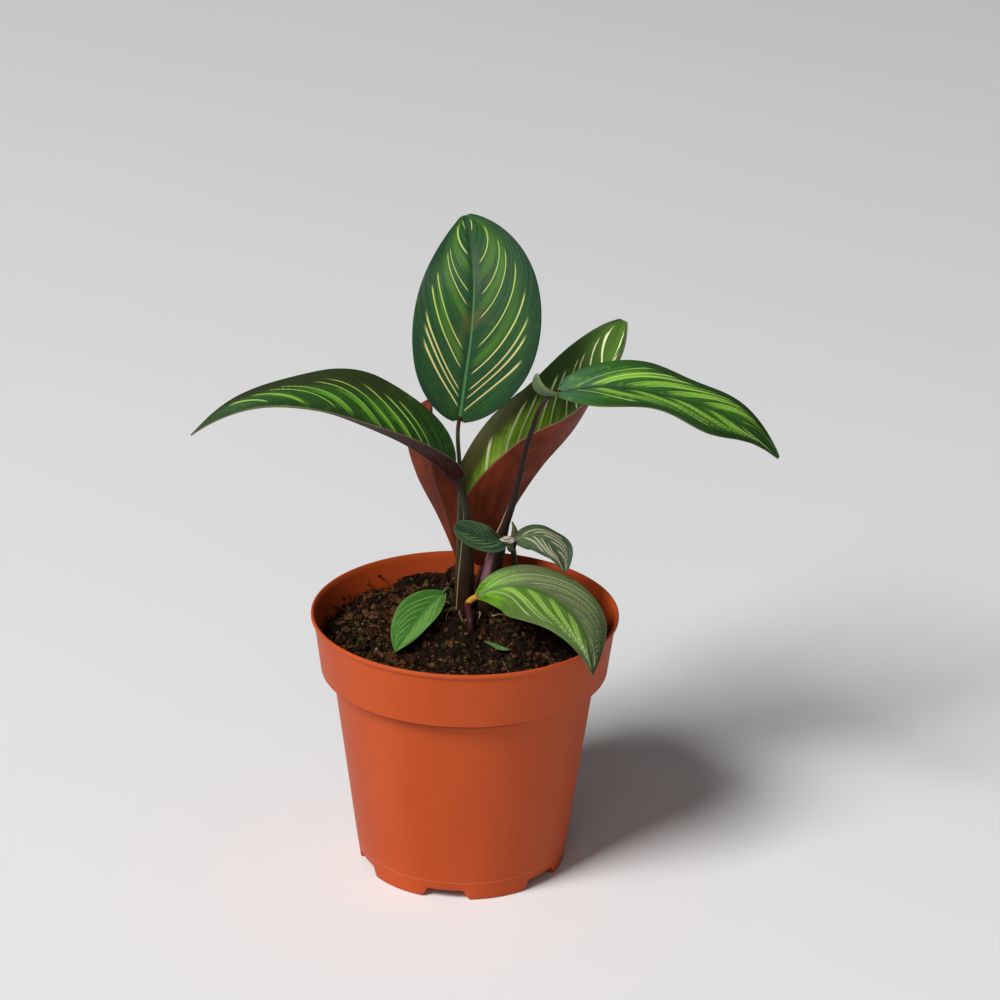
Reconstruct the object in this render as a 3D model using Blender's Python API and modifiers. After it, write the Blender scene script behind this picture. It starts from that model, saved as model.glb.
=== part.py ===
"""Young pin-stripe calathea in a thin-walled plastic nursery pot.

Units are metres, +Z is up, and the origin is where the pot's axis meets the surface it stands on.
-Y is the front. The plant's own points are given from the crown, the patch of potting mix that the
stalks rise from, so they follow the pot's height and fill.
"""

from dataclasses import dataclass
from math import cos, pi, radians, sin

import bmesh
import bpy
import numpy as np
from mathutils import Matrix, Vector

# Pot
POT_HEIGHT = 0.0951
LIP_RADIUS = 0.0540
LIP_HEIGHT = 0.0016
LIP_OVERHANG = 0.0010
COLLAR_HEIGHT = 0.0214
COLLAR_TAPER = 0.0026
STEP_DEPTH = 0.0040
BASE_RADIUS = 0.0365
FOOT_HEIGHT = 0.0070
FOOT_FLARE = 0.0010
WALL = 0.0010
FLOOR = 0.0012
POT_STEPS = 60

# Drain notches round the foot of the pot
NOTCH_COUNT = 6
NOTCH_FIRST = radians(-99)
NOTCH_WIDTH = 0.0165
NOTCH_HEIGHT = 0.0035
NOTCH_DEPTH = 0.0075
DRAIN_WIDTH = 0.0040
DRAIN_LENGTH = 0.0080

# Potting mix
GAP = 0.0003
FILL_DROP = 0.0105
MOUND_HEIGHT = 0.0054
MIX_RINGS = 12
CROWN_X = 0.003
CROWN_Y = 0.016
CROWN_FLAT = 0.013
MOUND_REACH = 0.034

# Leaves
BLADE_THICKNESS = 0.0006
BLADE_START = 0.006
BLADE_END = 0.992
STALK_SPACING = 0.0045
RIM_CLEARANCE = 0.0035

CROWN_LEVEL = POT_HEIGHT - FILL_DROP + MOUND_HEIGHT
COLLAR_TOP_RADIUS = LIP_RADIUS - LIP_OVERHANG
COLLAR_BOTTOM_RADIUS = COLLAR_TOP_RADIUS - COLLAR_TAPER
BODY_TOP_RADIUS = COLLAR_BOTTOM_RADIUS - STEP_DEPTH
COLLAR_BOTTOM = POT_HEIGHT - COLLAR_HEIGHT


# ---------------------------------------------------------------- scene and materials

def clear_scene():
    for obj in list(bpy.data.objects):
        bpy.data.objects.remove(obj)


def collection(name):
    made = bpy.data.collections.new(name)
    bpy.context.scene.collection.children.link(made)
    return made


clear_scene()
PLANT = collection("potted_calathea")
CUTTERS = collection("cutters")


def material(name, colour, roughness):
    """A plain Principled material, never metallic; colour is linear RGB."""
    made = bpy.data.materials.new(name)
    made.use_nodes = True
    shader = made.node_tree.nodes["Principled BSDF"]
    shader.inputs["Base Color"].default_value = (*colour, 1.0)
    shader.inputs["Roughness"].default_value = roughness
    shader.inputs["Metallic"].default_value = 0
    return made


TERRACOTTA_PLASTIC = material("terracotta_plastic", (0.58, 0.10, 0.03), 0.45)
PEAT = material("peat", (0.035, 0.018, 0.010), 0.95)
DEEP_GREEN_LEAF = material("deep_green_leaf", (0.020, 0.085, 0.030), 0.40)
BRIGHT_GREEN_LEAF = material("bright_green_leaf", (0.090, 0.260, 0.015), 0.40)
GREY_GREEN_LEAF = material("grey_green_leaf", (0.080, 0.130, 0.065), 0.45)
PURPLE_STALK = material("purple_stalk", (0.060, 0.018, 0.014), 0.40)
OLIVE_STALK = material("olive_stalk", (0.070, 0.060, 0.025), 0.45)
DRY_SCALE = material("dry_scale", (0.500, 0.450, 0.380), 0.80)
ROOT_FIBRE = material("root_fibre", (0.330, 0.210, 0.110), 0.85)
PERLITE = material("perlite", (0.700, 0.680, 0.620), 0.90)
BARK = material("bark", (0.110, 0.045, 0.020), 0.90)


# ---------------------------------------------------------------- modelling helpers

def add_mesh(name, bm, finish, home=PLANT):
    """Turn a bmesh into an object, smooth except at its real edges."""
    mesh = bpy.data.meshes.new(name)
    bm.to_mesh(mesh)
    bm.free()
    mesh.shade_smooth()
    mesh.set_sharp_from_angle(angle=radians(40))
    mesh.materials.append(finish)
    obj = bpy.data.objects.new(name, mesh)
    home.objects.link(obj)
    if home is CUTTERS:
        obj.hide_render = True
        obj.display_type = "WIRE"
    return obj


def cut(obj, cutter):
    modifier = obj.modifiers.new("cut_" + cutter.name, "BOOLEAN")
    modifier.operation = "DIFFERENCE"
    modifier.solver = "EXACT"
    modifier.object = cutter


def turned(name, outline, finish, home):
    """An outline of (radius, height) points spun once round Z with a Screw modifier."""
    bm = bmesh.new()
    points = [bm.verts.new((radius, 0, height)) for radius, height in outline]
    for start, end in zip(points, points[1:]):
        bm.edges.new((start, end))
    obj = add_mesh(name, bm, finish, home)
    screw = obj.modifiers.new("turn", "SCREW")
    screw.steps = POT_STEPS
    screw.render_steps = POT_STEPS
    screw.use_merge_vertices = True
    screw.merge_threshold = 0.00005
    return obj


def hermite(knots, values, shares):
    """Smooth values at shares 0 to 1 between rows of values at the knots."""
    slopes = np.gradient(values, knots, axis=0, edge_order=2 if len(values) > 2 else 1)
    shares = np.asarray(shares, float)
    span = np.clip(np.searchsorted(knots, shares, side="right") - 1, 0, len(values) - 2)
    width = (knots[span + 1] - knots[span])[:, None]
    x = ((shares - knots[span]) / (knots[span + 1] - knots[span]))[:, None]
    return (
        (2 * x**3 - 3 * x**2 + 1) * values[span]
        + (x**3 - 2 * x**2 + x) * width * slopes[span]
        + (3 * x**2 - 2 * x**3) * values[span + 1]
        + (x**3 - x**2) * width * slopes[span + 1]
    )


def smooth_curve(points, shares):
    """Points of one smooth curve through the given points, at shares 0 to 1 of its length."""
    points = np.array(points, float)
    knots = np.r_[0, np.cumsum(np.linalg.norm(np.diff(points, axis=0), axis=1))]
    return hermite(knots / knots[-1], points, shares)


def blend(values, shares):
    """Base, middle and tip values carried smoothly along a leaf; one value stays as it is."""
    values = np.array(values, float)
    if values.ndim == 0:
        return np.full(len(shares), float(values))
    table = values.reshape(len(values), -1)
    smooth = hermite(np.linspace(0, 1, len(table)), table, shares)
    return smooth if values.ndim > 1 else smooth[:, 0]


def unit(vectors):
    return vectors / np.linalg.norm(vectors, axis=-1, keepdims=True)


def from_crown(*points):
    """Points measured from the crown's level on the pot's axis, as points in the part's frame."""
    return [(x, y, z + CROWN_LEVEL) for x, y, z in points]


# ---------------------------------------------------------------- nursery pot

def pot_outside():
    """The pot's outside as (radius, height): lip, collar, step and body down to the flat base."""
    lip_bottom = POT_HEIGHT - LIP_HEIGHT
    edge = LIP_HEIGHT / 4
    return [
        (0, POT_HEIGHT),
        (LIP_RADIUS - edge, POT_HEIGHT),
        (LIP_RADIUS, POT_HEIGHT - edge),
        (LIP_RADIUS, lip_bottom + edge),
        (LIP_RADIUS - edge, lip_bottom),
        (COLLAR_TOP_RADIUS, lip_bottom),
        (COLLAR_BOTTOM_RADIUS, COLLAR_BOTTOM + edge),
        (COLLAR_BOTTOM_RADIUS - edge, COLLAR_BOTTOM),
        (BODY_TOP_RADIUS, COLLAR_BOTTOM),
        (BASE_RADIUS + FOOT_FLARE, FOOT_HEIGHT),
        (BASE_RADIUS, edge),
        (BASE_RADIUS - edge, 0),
        (0, 0),
    ]


def pot_inside(clearance):
    """The pot's inside, narrowed all round by a clearance, from above the lip down to the floor."""
    step = COLLAR_BOTTOM + WALL
    inset = WALL + clearance
    return [
        (0, POT_HEIGHT + WALL),
        (COLLAR_TOP_RADIUS + WALL / 2 - clearance, POT_HEIGHT + WALL),
        (COLLAR_TOP_RADIUS - inset, POT_HEIGHT - LIP_HEIGHT),
        (COLLAR_BOTTOM_RADIUS - inset, step + clearance),
        (BODY_TOP_RADIUS - inset, step + clearance),
        (BASE_RADIUS + FOOT_FLARE - inset, FOOT_HEIGHT),
        (BASE_RADIUS - inset, FLOOR + WALL + clearance),
        (BASE_RADIUS - WALL - inset, FLOOR + clearance),
        (0, FLOOR + clearance),
    ]


def foot_blocks(name, grow):
    """One wedge with sloping sides at each drain notch, grown all round by a wall or clearance."""
    inner = BASE_RADIUS - NOTCH_DEPTH - grow
    outer = 2 * BASE_RADIUS
    bm = bmesh.new()
    for number in range(NOTCH_COUNT):
        wedge = bmesh.ops.create_cube(bm, size=1)["verts"]
        for vert in wedge:
            height = NOTCH_HEIGHT + grow if vert.co.z > 0 else -FLOOR
            half = NOTCH_WIDTH / 2 + grow - height / 2
            vert.co = (outer if vert.co.x > 0 else inner, half if vert.co.y > 0 else -half, height)
        turn = Matrix.Rotation(NOTCH_FIRST + number * 2 * pi / NOTCH_COUNT, 3, "Z")
        bmesh.ops.rotate(bm, cent=(0, 0, 0), matrix=turn, verts=wedge)
    return add_mesh(name, bm, PEAT, CUTTERS)


def drain_cutters():
    """One square-ended drain slot through the roof of each notch."""
    bm = bmesh.new()
    middle = BASE_RADIUS - NOTCH_DEPTH / 2 - WALL
    for number in range(NOTCH_COUNT):
        slot = bmesh.ops.create_cube(bm, size=1)["verts"]
        bmesh.ops.scale(bm, vec=(DRAIN_WIDTH, DRAIN_LENGTH, 4 * WALL), verts=slot)
        bmesh.ops.translate(bm, vec=(middle, 0, NOTCH_HEIGHT + WALL / 2), verts=slot)
        turn = Matrix.Rotation(NOTCH_FIRST + number * 2 * pi / NOTCH_COUNT, 3, "Z")
        bmesh.ops.rotate(bm, cent=(0, 0, 0), matrix=turn, verts=slot)
    return add_mesh("drain_slots", bm, PEAT, CUTTERS)


def nursery_pot():
    """The outside less a hollow that leaves a wall over each notch, then the notches and drains."""
    pot = turned("nursery_pot", pot_outside(), TERRACOTTA_PLASTIC, PLANT)
    hollow = turned("hollow", pot_inside(0), PEAT, CUTTERS)
    cut(hollow, foot_blocks("notch_roofs", WALL))
    cut(pot, hollow)
    cut(pot, foot_blocks("notches", 0))
    cut(pot, drain_cutters())


# ---------------------------------------------------------------- potting mix

def mix_height(x, y):
    """Top of the potting mix: flat under the crown, falling in a smooth mound to the pot's wall."""
    away = np.hypot(x - CROWN_X, y - CROWN_Y)
    fall = np.clip((away - CROWN_FLAT) / (MOUND_REACH - CROWN_FLAT), 0, 1)
    return CROWN_LEVEL - MOUND_HEIGHT * fall**2 * (3 - 2 * fall)


def potting_mix():
    """A filling that follows the pot's inside with a small gap, topped by the mound."""
    level = CROWN_LEVEL - MOUND_HEIGHT
    share = (level - COLLAR_BOTTOM) / COLLAR_HEIGHT
    rim = COLLAR_BOTTOM_RADIUS + COLLAR_TAPER * share - WALL - 2 * GAP
    outline = [(rim * ring / MIX_RINGS, level) for ring in range(MIX_RINGS + 1)]
    outline += pot_inside(GAP)[3:]
    bm = bmesh.new()
    points = [bm.verts.new((radius, 0, height)) for radius, height in outline]
    edges = [bm.edges.new(pair) for pair in zip(points, points[1:])]
    bmesh.ops.spin(
        bm, geom=points + edges, axis=(0, 0, 1), cent=(0, 0, 0), angle=2 * pi, steps=POT_STEPS * 2 // 3,
        use_merge=True,
    )
    bmesh.ops.remove_doubles(bm, verts=bm.verts[:], dist=0.00005)
    bmesh.ops.recalc_face_normals(bm, faces=bm.faces[:])
    for vert in bm.verts:
        if vert.co.z > level - GAP:
            vert.co.z = float(mix_height(vert.co.x, vert.co.y))
    filling = add_mesh("potting_mix", bm, PEAT)
    cut(filling, foot_blocks("notch_room", WALL + GAP))


# ---------------------------------------------------------------- leaf blades

@dataclass
class Leaf:
    """One blade. Pairs are (left half, right half); triples run base, middle, tip.

    midrib  points along the midrib, base to tip
    face    directions that the upper face looks in
    half    half width at the widest place
    base    how slowly each half opens from the base (small is blunt)
    tip     how slowly each half closes to the tip (small is blunt)
    fold    degrees that each half is lifted from flat
    curl    further degrees that each half bends by its margin
    sweep   how far the margin's start is swept back past the base
    """

    name: str
    midrib: list
    face: list
    half: float
    finish: object
    base: tuple = (0.5, 0.5)
    tip: tuple = (0.8, 0.8)
    fold: tuple = (0, 0)
    curl: tuple = (0, 0)
    sweep: tuple = (0, 0)
    left_share: float = 1.0
    along: int = 14
    across: int = 8


def outline_share(t, base, tip):
    """Half width along the blade, as a share of its widest, from two exponents."""
    widest = base / (base + tip)
    return t**base * (1 - t) ** tip / (widest**base * (1 - widest) ** tip)


def blade_points(leaf, t, v):
    """Points on the upper face at shares t along the midrib and v across, -1 left to 1 right."""
    small = 1e-3
    middle = smooth_curve(leaf.midrib, t)
    ahead = smooth_curve(leaf.midrib, np.clip(t + small, 0, 1))
    behind = smooth_curve(leaf.midrib, np.clip(t - small, 0, 1))
    along = unit(ahead - behind)
    facing = blend(leaf.face, t)
    facing = unit(facing - np.sum(facing * along, axis=1, keepdims=True) * along)
    sideways = np.cross(along, facing)
    right = v >= 0
    reach = np.abs(v)

    def per_side(pair):
        pair = pair if isinstance(pair, tuple) else (pair, pair)
        return np.where(right, blend(pair[1], t), blend(pair[0], t))

    width = leaf.half * np.where(right, 1, leaf.left_share)
    width = width * outline_share(t, per_side(leaf.base), per_side(leaf.tip))
    fold = np.radians(per_side(leaf.fold))
    curl = np.radians(per_side(leaf.curl)) + 1e-4
    out = width / curl * (np.sin(fold + curl * reach) - np.sin(fold))
    up = width / curl * (np.cos(fold) - np.cos(fold + curl * reach))
    back = per_side(leaf.sweep) * reach**1.5
    back = back * np.sqrt(np.clip(t / 0.06, 0, 1)) * np.clip(1 - 2 * t, 0, 1) ** 1.5
    out = np.where(right, out, -out)
    return middle + out[:, None] * sideways + up[:, None] * facing - back[:, None] * along


def blade(leaf):
    """A flat grid bent onto the blade's surface and given its thickness on the underside."""
    bm = bmesh.new()
    bmesh.ops.create_grid(bm, x_segments=leaf.along, y_segments=leaf.across, size=1)
    shares = np.array([vert.co.x for vert in bm.verts])
    across = np.array([-vert.co.y for vert in bm.verts])
    along = BLADE_START + (BLADE_END - BLADE_START) * (0.5 + 0.5 * np.sin(shares * pi / 2))
    for vert, place in zip(bm.verts, blade_points(leaf, along, across)):
        vert.co = place
    obj = add_mesh(leaf.name, bm, leaf.finish)
    shell = obj.modifiers.new("thickness", "SOLIDIFY")
    shell.thickness = BLADE_THICKNESS
    shell.offset = -1


# Large leaves

UPRIGHT_LEAF = Leaf(
    "upright_leaf",
    midrib=from_crown(
        (-0.003, 0.020, 0.068), (-0.002, 0.018, 0.085), (-0.001, 0.019, 0.102),
        (0.000, 0.024, 0.119), (-0.001, 0.042, 0.137),
    ),
    face=[(-0.1, -1, 0.2), (0, -1, 0.35), (-0.1, -0.75, 0.7)],
    half=0.0255, left_share=0.75, base=(0.6, 0.55), tip=(1.0, 0.6),
    fold=((8, 5, 0), (8, 5, 0)), curl=((0, -5, -10), (0, -5, -10)), finish=DEEP_GREEN_LEAF,
)
LEFT_LEAF = Leaf(
    "left_leaf",
    midrib=from_crown(
        (-0.005, 0.008, 0.0515), (-0.020, 0.001, 0.0665), (-0.033, -0.002, 0.074),
        (-0.050, -0.004, 0.081), (-0.070, -0.006, 0.084), (-0.095, -0.008, 0.074),
    ),
    face=[(0, -0.3, 0.95), (0, -0.5, 0.9), (-0.3, -0.5, 0.8)],
    half=0.0195, base=(0.4, 0.4), tip=(0.9, 1.25), sweep=(0.007, 0.005),
    fold=((55, 50, 30), (50, 30, 20)), curl=((0, 0, 0), (0, -30, -30)), finish=DEEP_GREEN_LEAF,
)
REAR_RIGHT_LEAF = Leaf(
    "rear_right_leaf",
    midrib=from_crown(
        (0.008, 0.027, 0.010), (0.016, 0.028, 0.032), (0.026, 0.030, 0.048),
        (0.037, 0.033, 0.061), (0.048, 0.036, 0.082), (0.055, 0.039, 0.099),
    ),
    face=[(-0.9, -0.1, 0.3), (-0.8, -0.5, 0.5), (-0.5, -0.8, 0.5)],
    half=0.021, base=(0.45, 0.35), tip=(0.6, 1.0),
    fold=((60, 30, 10), (65, 60, 10)), curl=((0, 0, 0), (20, 20, 0)), finish=BRIGHT_GREEN_LEAF,
)
RIGHT_LEAF = Leaf(
    "right_leaf",
    midrib=from_crown(
        (0.031, 0.008, 0.084), (0.045, 0.004, 0.088), (0.069, -0.002, 0.087),
        (0.090, -0.006, 0.081), (0.107, -0.009, 0.067),
    ),
    face=[(0, -0.25, 1), (0.1, -0.25, 1), (0.4, -0.4, 0.8)],
    half=0.0165, base=(0.4, 0.4), tip=(0.6, 0.8), sweep=(0.002, 0.004),
    fold=((12, 7, 0), (15, 15, 0)), curl=((-10, -15, -20), (-10, -20, -20)), finish=DEEP_GREEN_LEAF,
)
REAR_LEFT_LEAF = Leaf(
    "rear_left_leaf",
    midrib=from_crown(
        (-0.002, 0.027, 0.009), (-0.006, 0.028, 0.028), (-0.011, 0.030, 0.044),
        (-0.012, 0.032, 0.057), (-0.011, 0.035, 0.069),
    ),
    face=[(0.3, 0.9, 0.2), (0.3, 0.9, 0.2), (0.2, 0.9, 0.4)],
    half=0.011, base=(0.8, 0.8), tip=(0.6, 0.6),
    fold=((20, 20, 10), (20, 20, 10)), curl=((20, 20, 0), (20, 20, 0)), finish=BRIGHT_GREEN_LEAF,
)


# Low and small leaves

LOW_LEFT_LEAF = Leaf(
    "low_left_leaf",
    midrib=from_crown(
        (-0.007, 0.011, 0.0075), (-0.014, 0.000, 0.0050), (-0.020, -0.010, 0.0005), (-0.024, -0.018, -0.0030),
    ),
    face=[(0, -0.3, 1), (-0.1, -0.4, 1), (-0.3, -0.5, 0.8)],
    half=0.010, left_share=0.8, base=(0.4, 0.4), tip=(0.8, 0.8),
    fold=((5, 0, 0), (5, 0, 0)), curl=((-10, -20, -20), (-10, -20, -20)), finish=BRIGHT_GREEN_LEAF,
    along=10, across=6,
)
NODE = (0.0155, 0.0085, 0.0280)
NODE_REACH = 0.0013
SMALL_LEFT_LEAF = Leaf(
    "small_left_leaf",
    midrib=from_crown(
        (NODE[0] - NODE_REACH, NODE[1], NODE[2]), (0.010, 0.006, 0.029), (0.004, 0.004, 0.032),
        (-0.004, 0.003, 0.036),
    ),
    face=[(0, -0.4, 1), (0, -0.9, 1), (-0.1, -0.8, 1)],
    half=0.0046, base=(0.7, 0.7), tip=(0.45, 0.45),
    fold=((-5, -5, -5), (10, 10, 10)), curl=((-30, -30, 0), (0, 0, 0)), finish=DEEP_GREEN_LEAF,
    along=8, across=4,
)
SMALL_RIGHT_LEAF = Leaf(
    "small_right_leaf",
    midrib=from_crown(
        (NODE[0] + NODE_REACH, NODE[1], NODE[2]), (0.022, 0.008, 0.0310), (0.027, 0.005, 0.0315),
        (0.0315, 0.002, 0.0275), (0.0345, -0.002, 0.021),
    ),
    face=[(0, -0.4, 1), (0, -0.5, 1), (0.5, -0.5, 0.6)],
    half=0.0065, base=(0.5, 0.5), tip=(0.45, 0.9),
    fold=((0, 0, 0), (-5, -5, 0)), curl=((-20, -20, 0), (-20, -20, 0)), finish=GREY_GREEN_LEAF,
    along=8, across=4,
)


def over_the_rim():
    """Midrib of the low right leaf: from the crown it arches over the pot's lip and hangs outside."""
    rim = POT_HEIGHT + RIM_CLEARANCE
    out = LIP_RADIUS
    return [
        (CROWN_X, CROWN_Y - 0.011, CROWN_LEVEL + 0.0072),
        (0.17 * out, 0.04 * out, rim + 0.0040),
        (0.32 * out, -0.03 * out, rim + 0.0075),
        (0.48 * out, -0.15 * out, rim + 0.0085),
        (0.63 * out, -0.33 * out, rim + 0.0075),
        (0.75 * out, -0.53 * out, rim + 0.0035),
        (0.81 * out, -0.73 * out, rim - 0.0100),
    ]


LOW_RIGHT_LEAF = Leaf(
    "low_right_leaf",
    midrib=over_the_rim(),
    face=[(0, -0.8, 0.8), (0.1, -0.25, 1), (0.7, -0.5, 0.5)],
    half=0.017, left_share=0.92, base=(0.75, 0.80), tip=(0.85, 0.95),
    fold=((5, 0, 0), (5, 0, 0)), curl=((-10, -20, -20), (-10, -20, -20)), finish=BRIGHT_GREEN_LEAF,
)


# ---------------------------------------------------------------- stalks and other thin pieces

def tube(name, points, radii, finish, roundness=2):
    """A tapering round stem along a smooth curve, with a level foot and a cap at its top."""
    points = np.array(points, float)
    length = np.sum(np.linalg.norm(np.diff(points, axis=0), axis=1))
    count = max(5, round(length / STALK_SPACING) + 1)
    shares = np.linspace(0, 1, count)
    places = smooth_curve(points, shares)
    thickness = np.interp(shares, np.linspace(0, 1, len(radii)), radii)
    data = bpy.data.curves.new(name, "CURVE")
    data.dimensions = "3D"
    data.bevel_depth = 1.0
    data.bevel_resolution = roundness
    data.use_fill_caps = True
    line = data.splines.new("POLY")
    line.points.add(count - 1)
    for point, place, radius in zip(line.points, places, thickness):
        point.co = (*place, 1)
        point.radius = radius
    data.materials.append(finish)
    obj = bpy.data.objects.new(name, data)
    PLANT.objects.link(obj)
    return obj


def foot_on_mix(x, y, radius):
    """Where a stem's level foot stands, just clear of the mix all round its edge."""
    turn = np.linspace(0, 2 * pi, 9)
    return float(np.max(mix_height(x + radius * np.cos(turn), y + radius * np.sin(turn)))) + GAP


def rising(route, radius):
    """A stem's lower points: its foot at the mix, a point straight above, then its way up."""
    x, y = route[0]
    foot = foot_on_mix(x, y, radius)
    return [(x, y, foot), (x, y, foot + 0.002)] + from_crown(*route[1:])


def stalk(leaf, route, radii, finish):
    """A leaf's stalk: it stands on the crown and ends just short of its blade, in line with it."""
    base = Vector(leaf.midrib[0])
    along = (Vector(leaf.midrib[1]) - base).normalized()
    end = [tuple(base - along * (GAP + 0.002)), tuple(base - along * GAP)]
    return tube(leaf.name + "_stalk", rising(route, radii[0]) + end, radii, finish)


def build_leaves():
    for leaf in (
        UPRIGHT_LEAF, LEFT_LEAF, REAR_RIGHT_LEAF, RIGHT_LEAF, REAR_LEFT_LEAF,
        LOW_LEFT_LEAF, SMALL_LEFT_LEAF, SMALL_RIGHT_LEAF, LOW_RIGHT_LEAF,
    ):
        blade(leaf)


def build_stalks():
    stalk(UPRIGHT_LEAF, [(-0.0022, 0.0165), (-0.0022, 0.0165, 0.030), (-0.0024, 0.0180, 0.050)],
          (0.0016, 0.0012, 0.0010), OLIVE_STALK)
    stalk(LEFT_LEAF, [(0.0000, 0.0105), (0.0005, 0.0095, 0.026), (0.0000, 0.0085, 0.040)],
          (0.0024, 0.0022, 0.0014), OLIVE_STALK)
    stalk(RIGHT_LEAF, [(0.0090, 0.0165), (0.0130, 0.0140, 0.028), (0.0165, 0.0110, 0.043),
                       (0.0220, 0.0080, 0.069), (0.0260, 0.0080, 0.080)],
          (0.0034, 0.0022, 0.0016, 0.0014, 0.0013), PURPLE_STALK)
    stalk(REAR_RIGHT_LEAF, [(0.0065, 0.0255)], (0.0034, 0.0026), PURPLE_STALK)
    stalk(REAR_LEFT_LEAF, [(-0.0010, 0.0250)], (0.0026, 0.0018), PURPLE_STALK)
    stalk(LOW_RIGHT_LEAF, [(0.0020, -0.0020)], (0.0015, 0.0012, 0.0011), PURPLE_STALK)
    stalk(LOW_LEFT_LEAF, [(-0.0045, 0.0120)], (0.0013, 0.0009), OLIVE_STALK)


def side_shoot_stem():
    """The short stem that carries the two small leaves at its node."""
    x, y, z = NODE
    route = [(0.0180, 0.0225), (0.0176, 0.0208, 0.012), (0.0166, 0.0165, 0.022)]
    end = from_crown((x, y, z - 0.002), (x, y, z + 0.0002))
    tube("side_shoot_stem", rising(route, 0.0012) + end, (0.0012, 0.0010, 0.0009), OLIVE_STALK)


# ---------------------------------------------------------------- small things on the mix

def lump(bm, place, size, turn):
    """One small angular grain: a twenty-sided ball, stretched and turned about Z."""
    grain = bmesh.ops.create_icosphere(bm, subdivisions=1, radius=0.5)["verts"]
    bmesh.ops.scale(bm, vec=size, verts=grain)
    bmesh.ops.rotate(bm, cent=(0, 0, 0), matrix=Matrix.Rotation(turn, 3, "Z"), verts=grain)
    bmesh.ops.translate(bm, vec=place, verts=grain)


def above_mix(x, y, half_height, reach):
    return (x, y, foot_on_mix(x, y, reach) + half_height + GAP / 2)


def scatter(name, places, size, finish):
    """Separate grains, each its own piece, lying on the mix.

    Each place is (x, y) as shares of the lip's radius, a turn in degrees and a share of full size.
    """
    for number, (across, deep, turn, share) in enumerate(places, 1):
        bm = bmesh.new()
        grain = Vector(size) * share
        x, y = across * LIP_RADIUS, deep * LIP_RADIUS
        lump(bm, above_mix(x, y, grain.z / 2, grain.y / 2), grain, radians(turn))
        add_mesh(f"{name}_{number}", bm, finish)


def dry_scale():
    """The whitish papery scale left on the side shoot's node."""
    bm = bmesh.new()
    x, y, z = from_crown(NODE)[0]
    lump(bm, (x - 0.0003, y - 0.0003, z + 0.0002 + GAP + 0.0006), (0.0034, 0.0018, 0.0012), 0.2)
    add_mesh("dry_node_scale", bm, DRY_SCALE)


def rootlets():
    """Pale fibrous roots that lie on the mix round the crown: (heading, start, length) each."""
    for number, (turn, start, reach) in enumerate(
        ((206, 0.0105, 0.0070), (232, 0.0125, 0.0060), (262, 0.0085, 0.0045), (318, 0.0120, 0.0070)), 1
    ):
        direction = Vector((cos(radians(turn)), sin(radians(turn)), 0))
        bend = Vector((-direction.y, direction.x, 0)) * 0.0012
        points = []
        for share in (0, 0.35, 0.7, 1):
            place = direction * (start + reach * share) + bend * sin(pi * share)
            x, y = CROWN_X + place.x, CROWN_Y + place.y
            points.append((x, y, foot_on_mix(x, y, 0.001) + 0.0003 + 0.0008 * sin(pi * share)))
        tube(f"rootlet_{number}", points, (0.00035, 0.0003, 0.0002), ROOT_FIBRE, roundness=1)


def leaf_fragment():
    """A torn bit of green leaf lying on the mix in front of the plant."""
    bm = bmesh.new()
    bmesh.ops.create_grid(bm, x_segments=4, y_segments=2, size=1)
    middle = Vector((0.0115, -0.0120, 0))
    for vert in bm.verts:
        along, side = vert.co.x, vert.co.y
        x = middle.x + 0.0042 * along - 0.0006 * side
        y = middle.y + 0.0013 * side * (1.15 - along**2) - 0.0016 * along
        vert.co = (x, y, foot_on_mix(x, y, 0.001) + 0.0005 + 0.0003 * along**2)
    fragment = add_mesh("fallen_leaf_fragment", bm, BRIGHT_GREEN_LEAF)
    shell = fragment.modifiers.new("thickness", "SOLIDIFY")
    shell.thickness = 0.0004
    shell.offset = 0


def small_things():
    scatter("perlite_grain",
            [(-0.57, -0.22, 20, 1.0), (-0.22, -0.52, 75, 0.8), (0.07, -0.67, 10, 1.1),
             (0.39, -0.54, 50, 0.7), (-0.67, 0.18, 0, 0.9), (-0.41, 0.56, 40, 0.8),
             (0.57, 0.44, 65, 1.0), (0.18, 0.76, 25, 0.9)],
            (0.0016, 0.0013, 0.0011), PERLITE)
    scatter("bark_chip",
            [(-0.46, -0.37, 35, 1.0), (-0.07, -0.56, 120, 0.8), (0.26, -0.48, 15, 1.0),
             (0.52, -0.26, 80, 0.9), (-0.56, 0.04, 150, 1.1), (-0.52, 0.41, 60, 0.9),
             (-0.07, 0.74, 10, 1.0), (0.44, 0.59, 100, 1.0)],
            (0.0050, 0.0022, 0.0014), BARK)


nursery_pot()
potting_mix()
build_leaves()
build_stalks()
side_shoot_stem()
dry_scale()
rootlets()
leaf_fragment()
small_things()
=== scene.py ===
"""A young pin-stripe calathea in a plastic nursery pot: the shapes and finishes that show.

Metres, +Z up, the origin where the pot's axis meets the floor and -Y the front, as in the frame.
"""

from dataclasses import dataclass
from math import atan2, cos, hypot, pi, radians, sin
from random import Random

import bmesh
import bpy
import numpy as np
from mathutils import Euler, Matrix, Vector, noise


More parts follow.
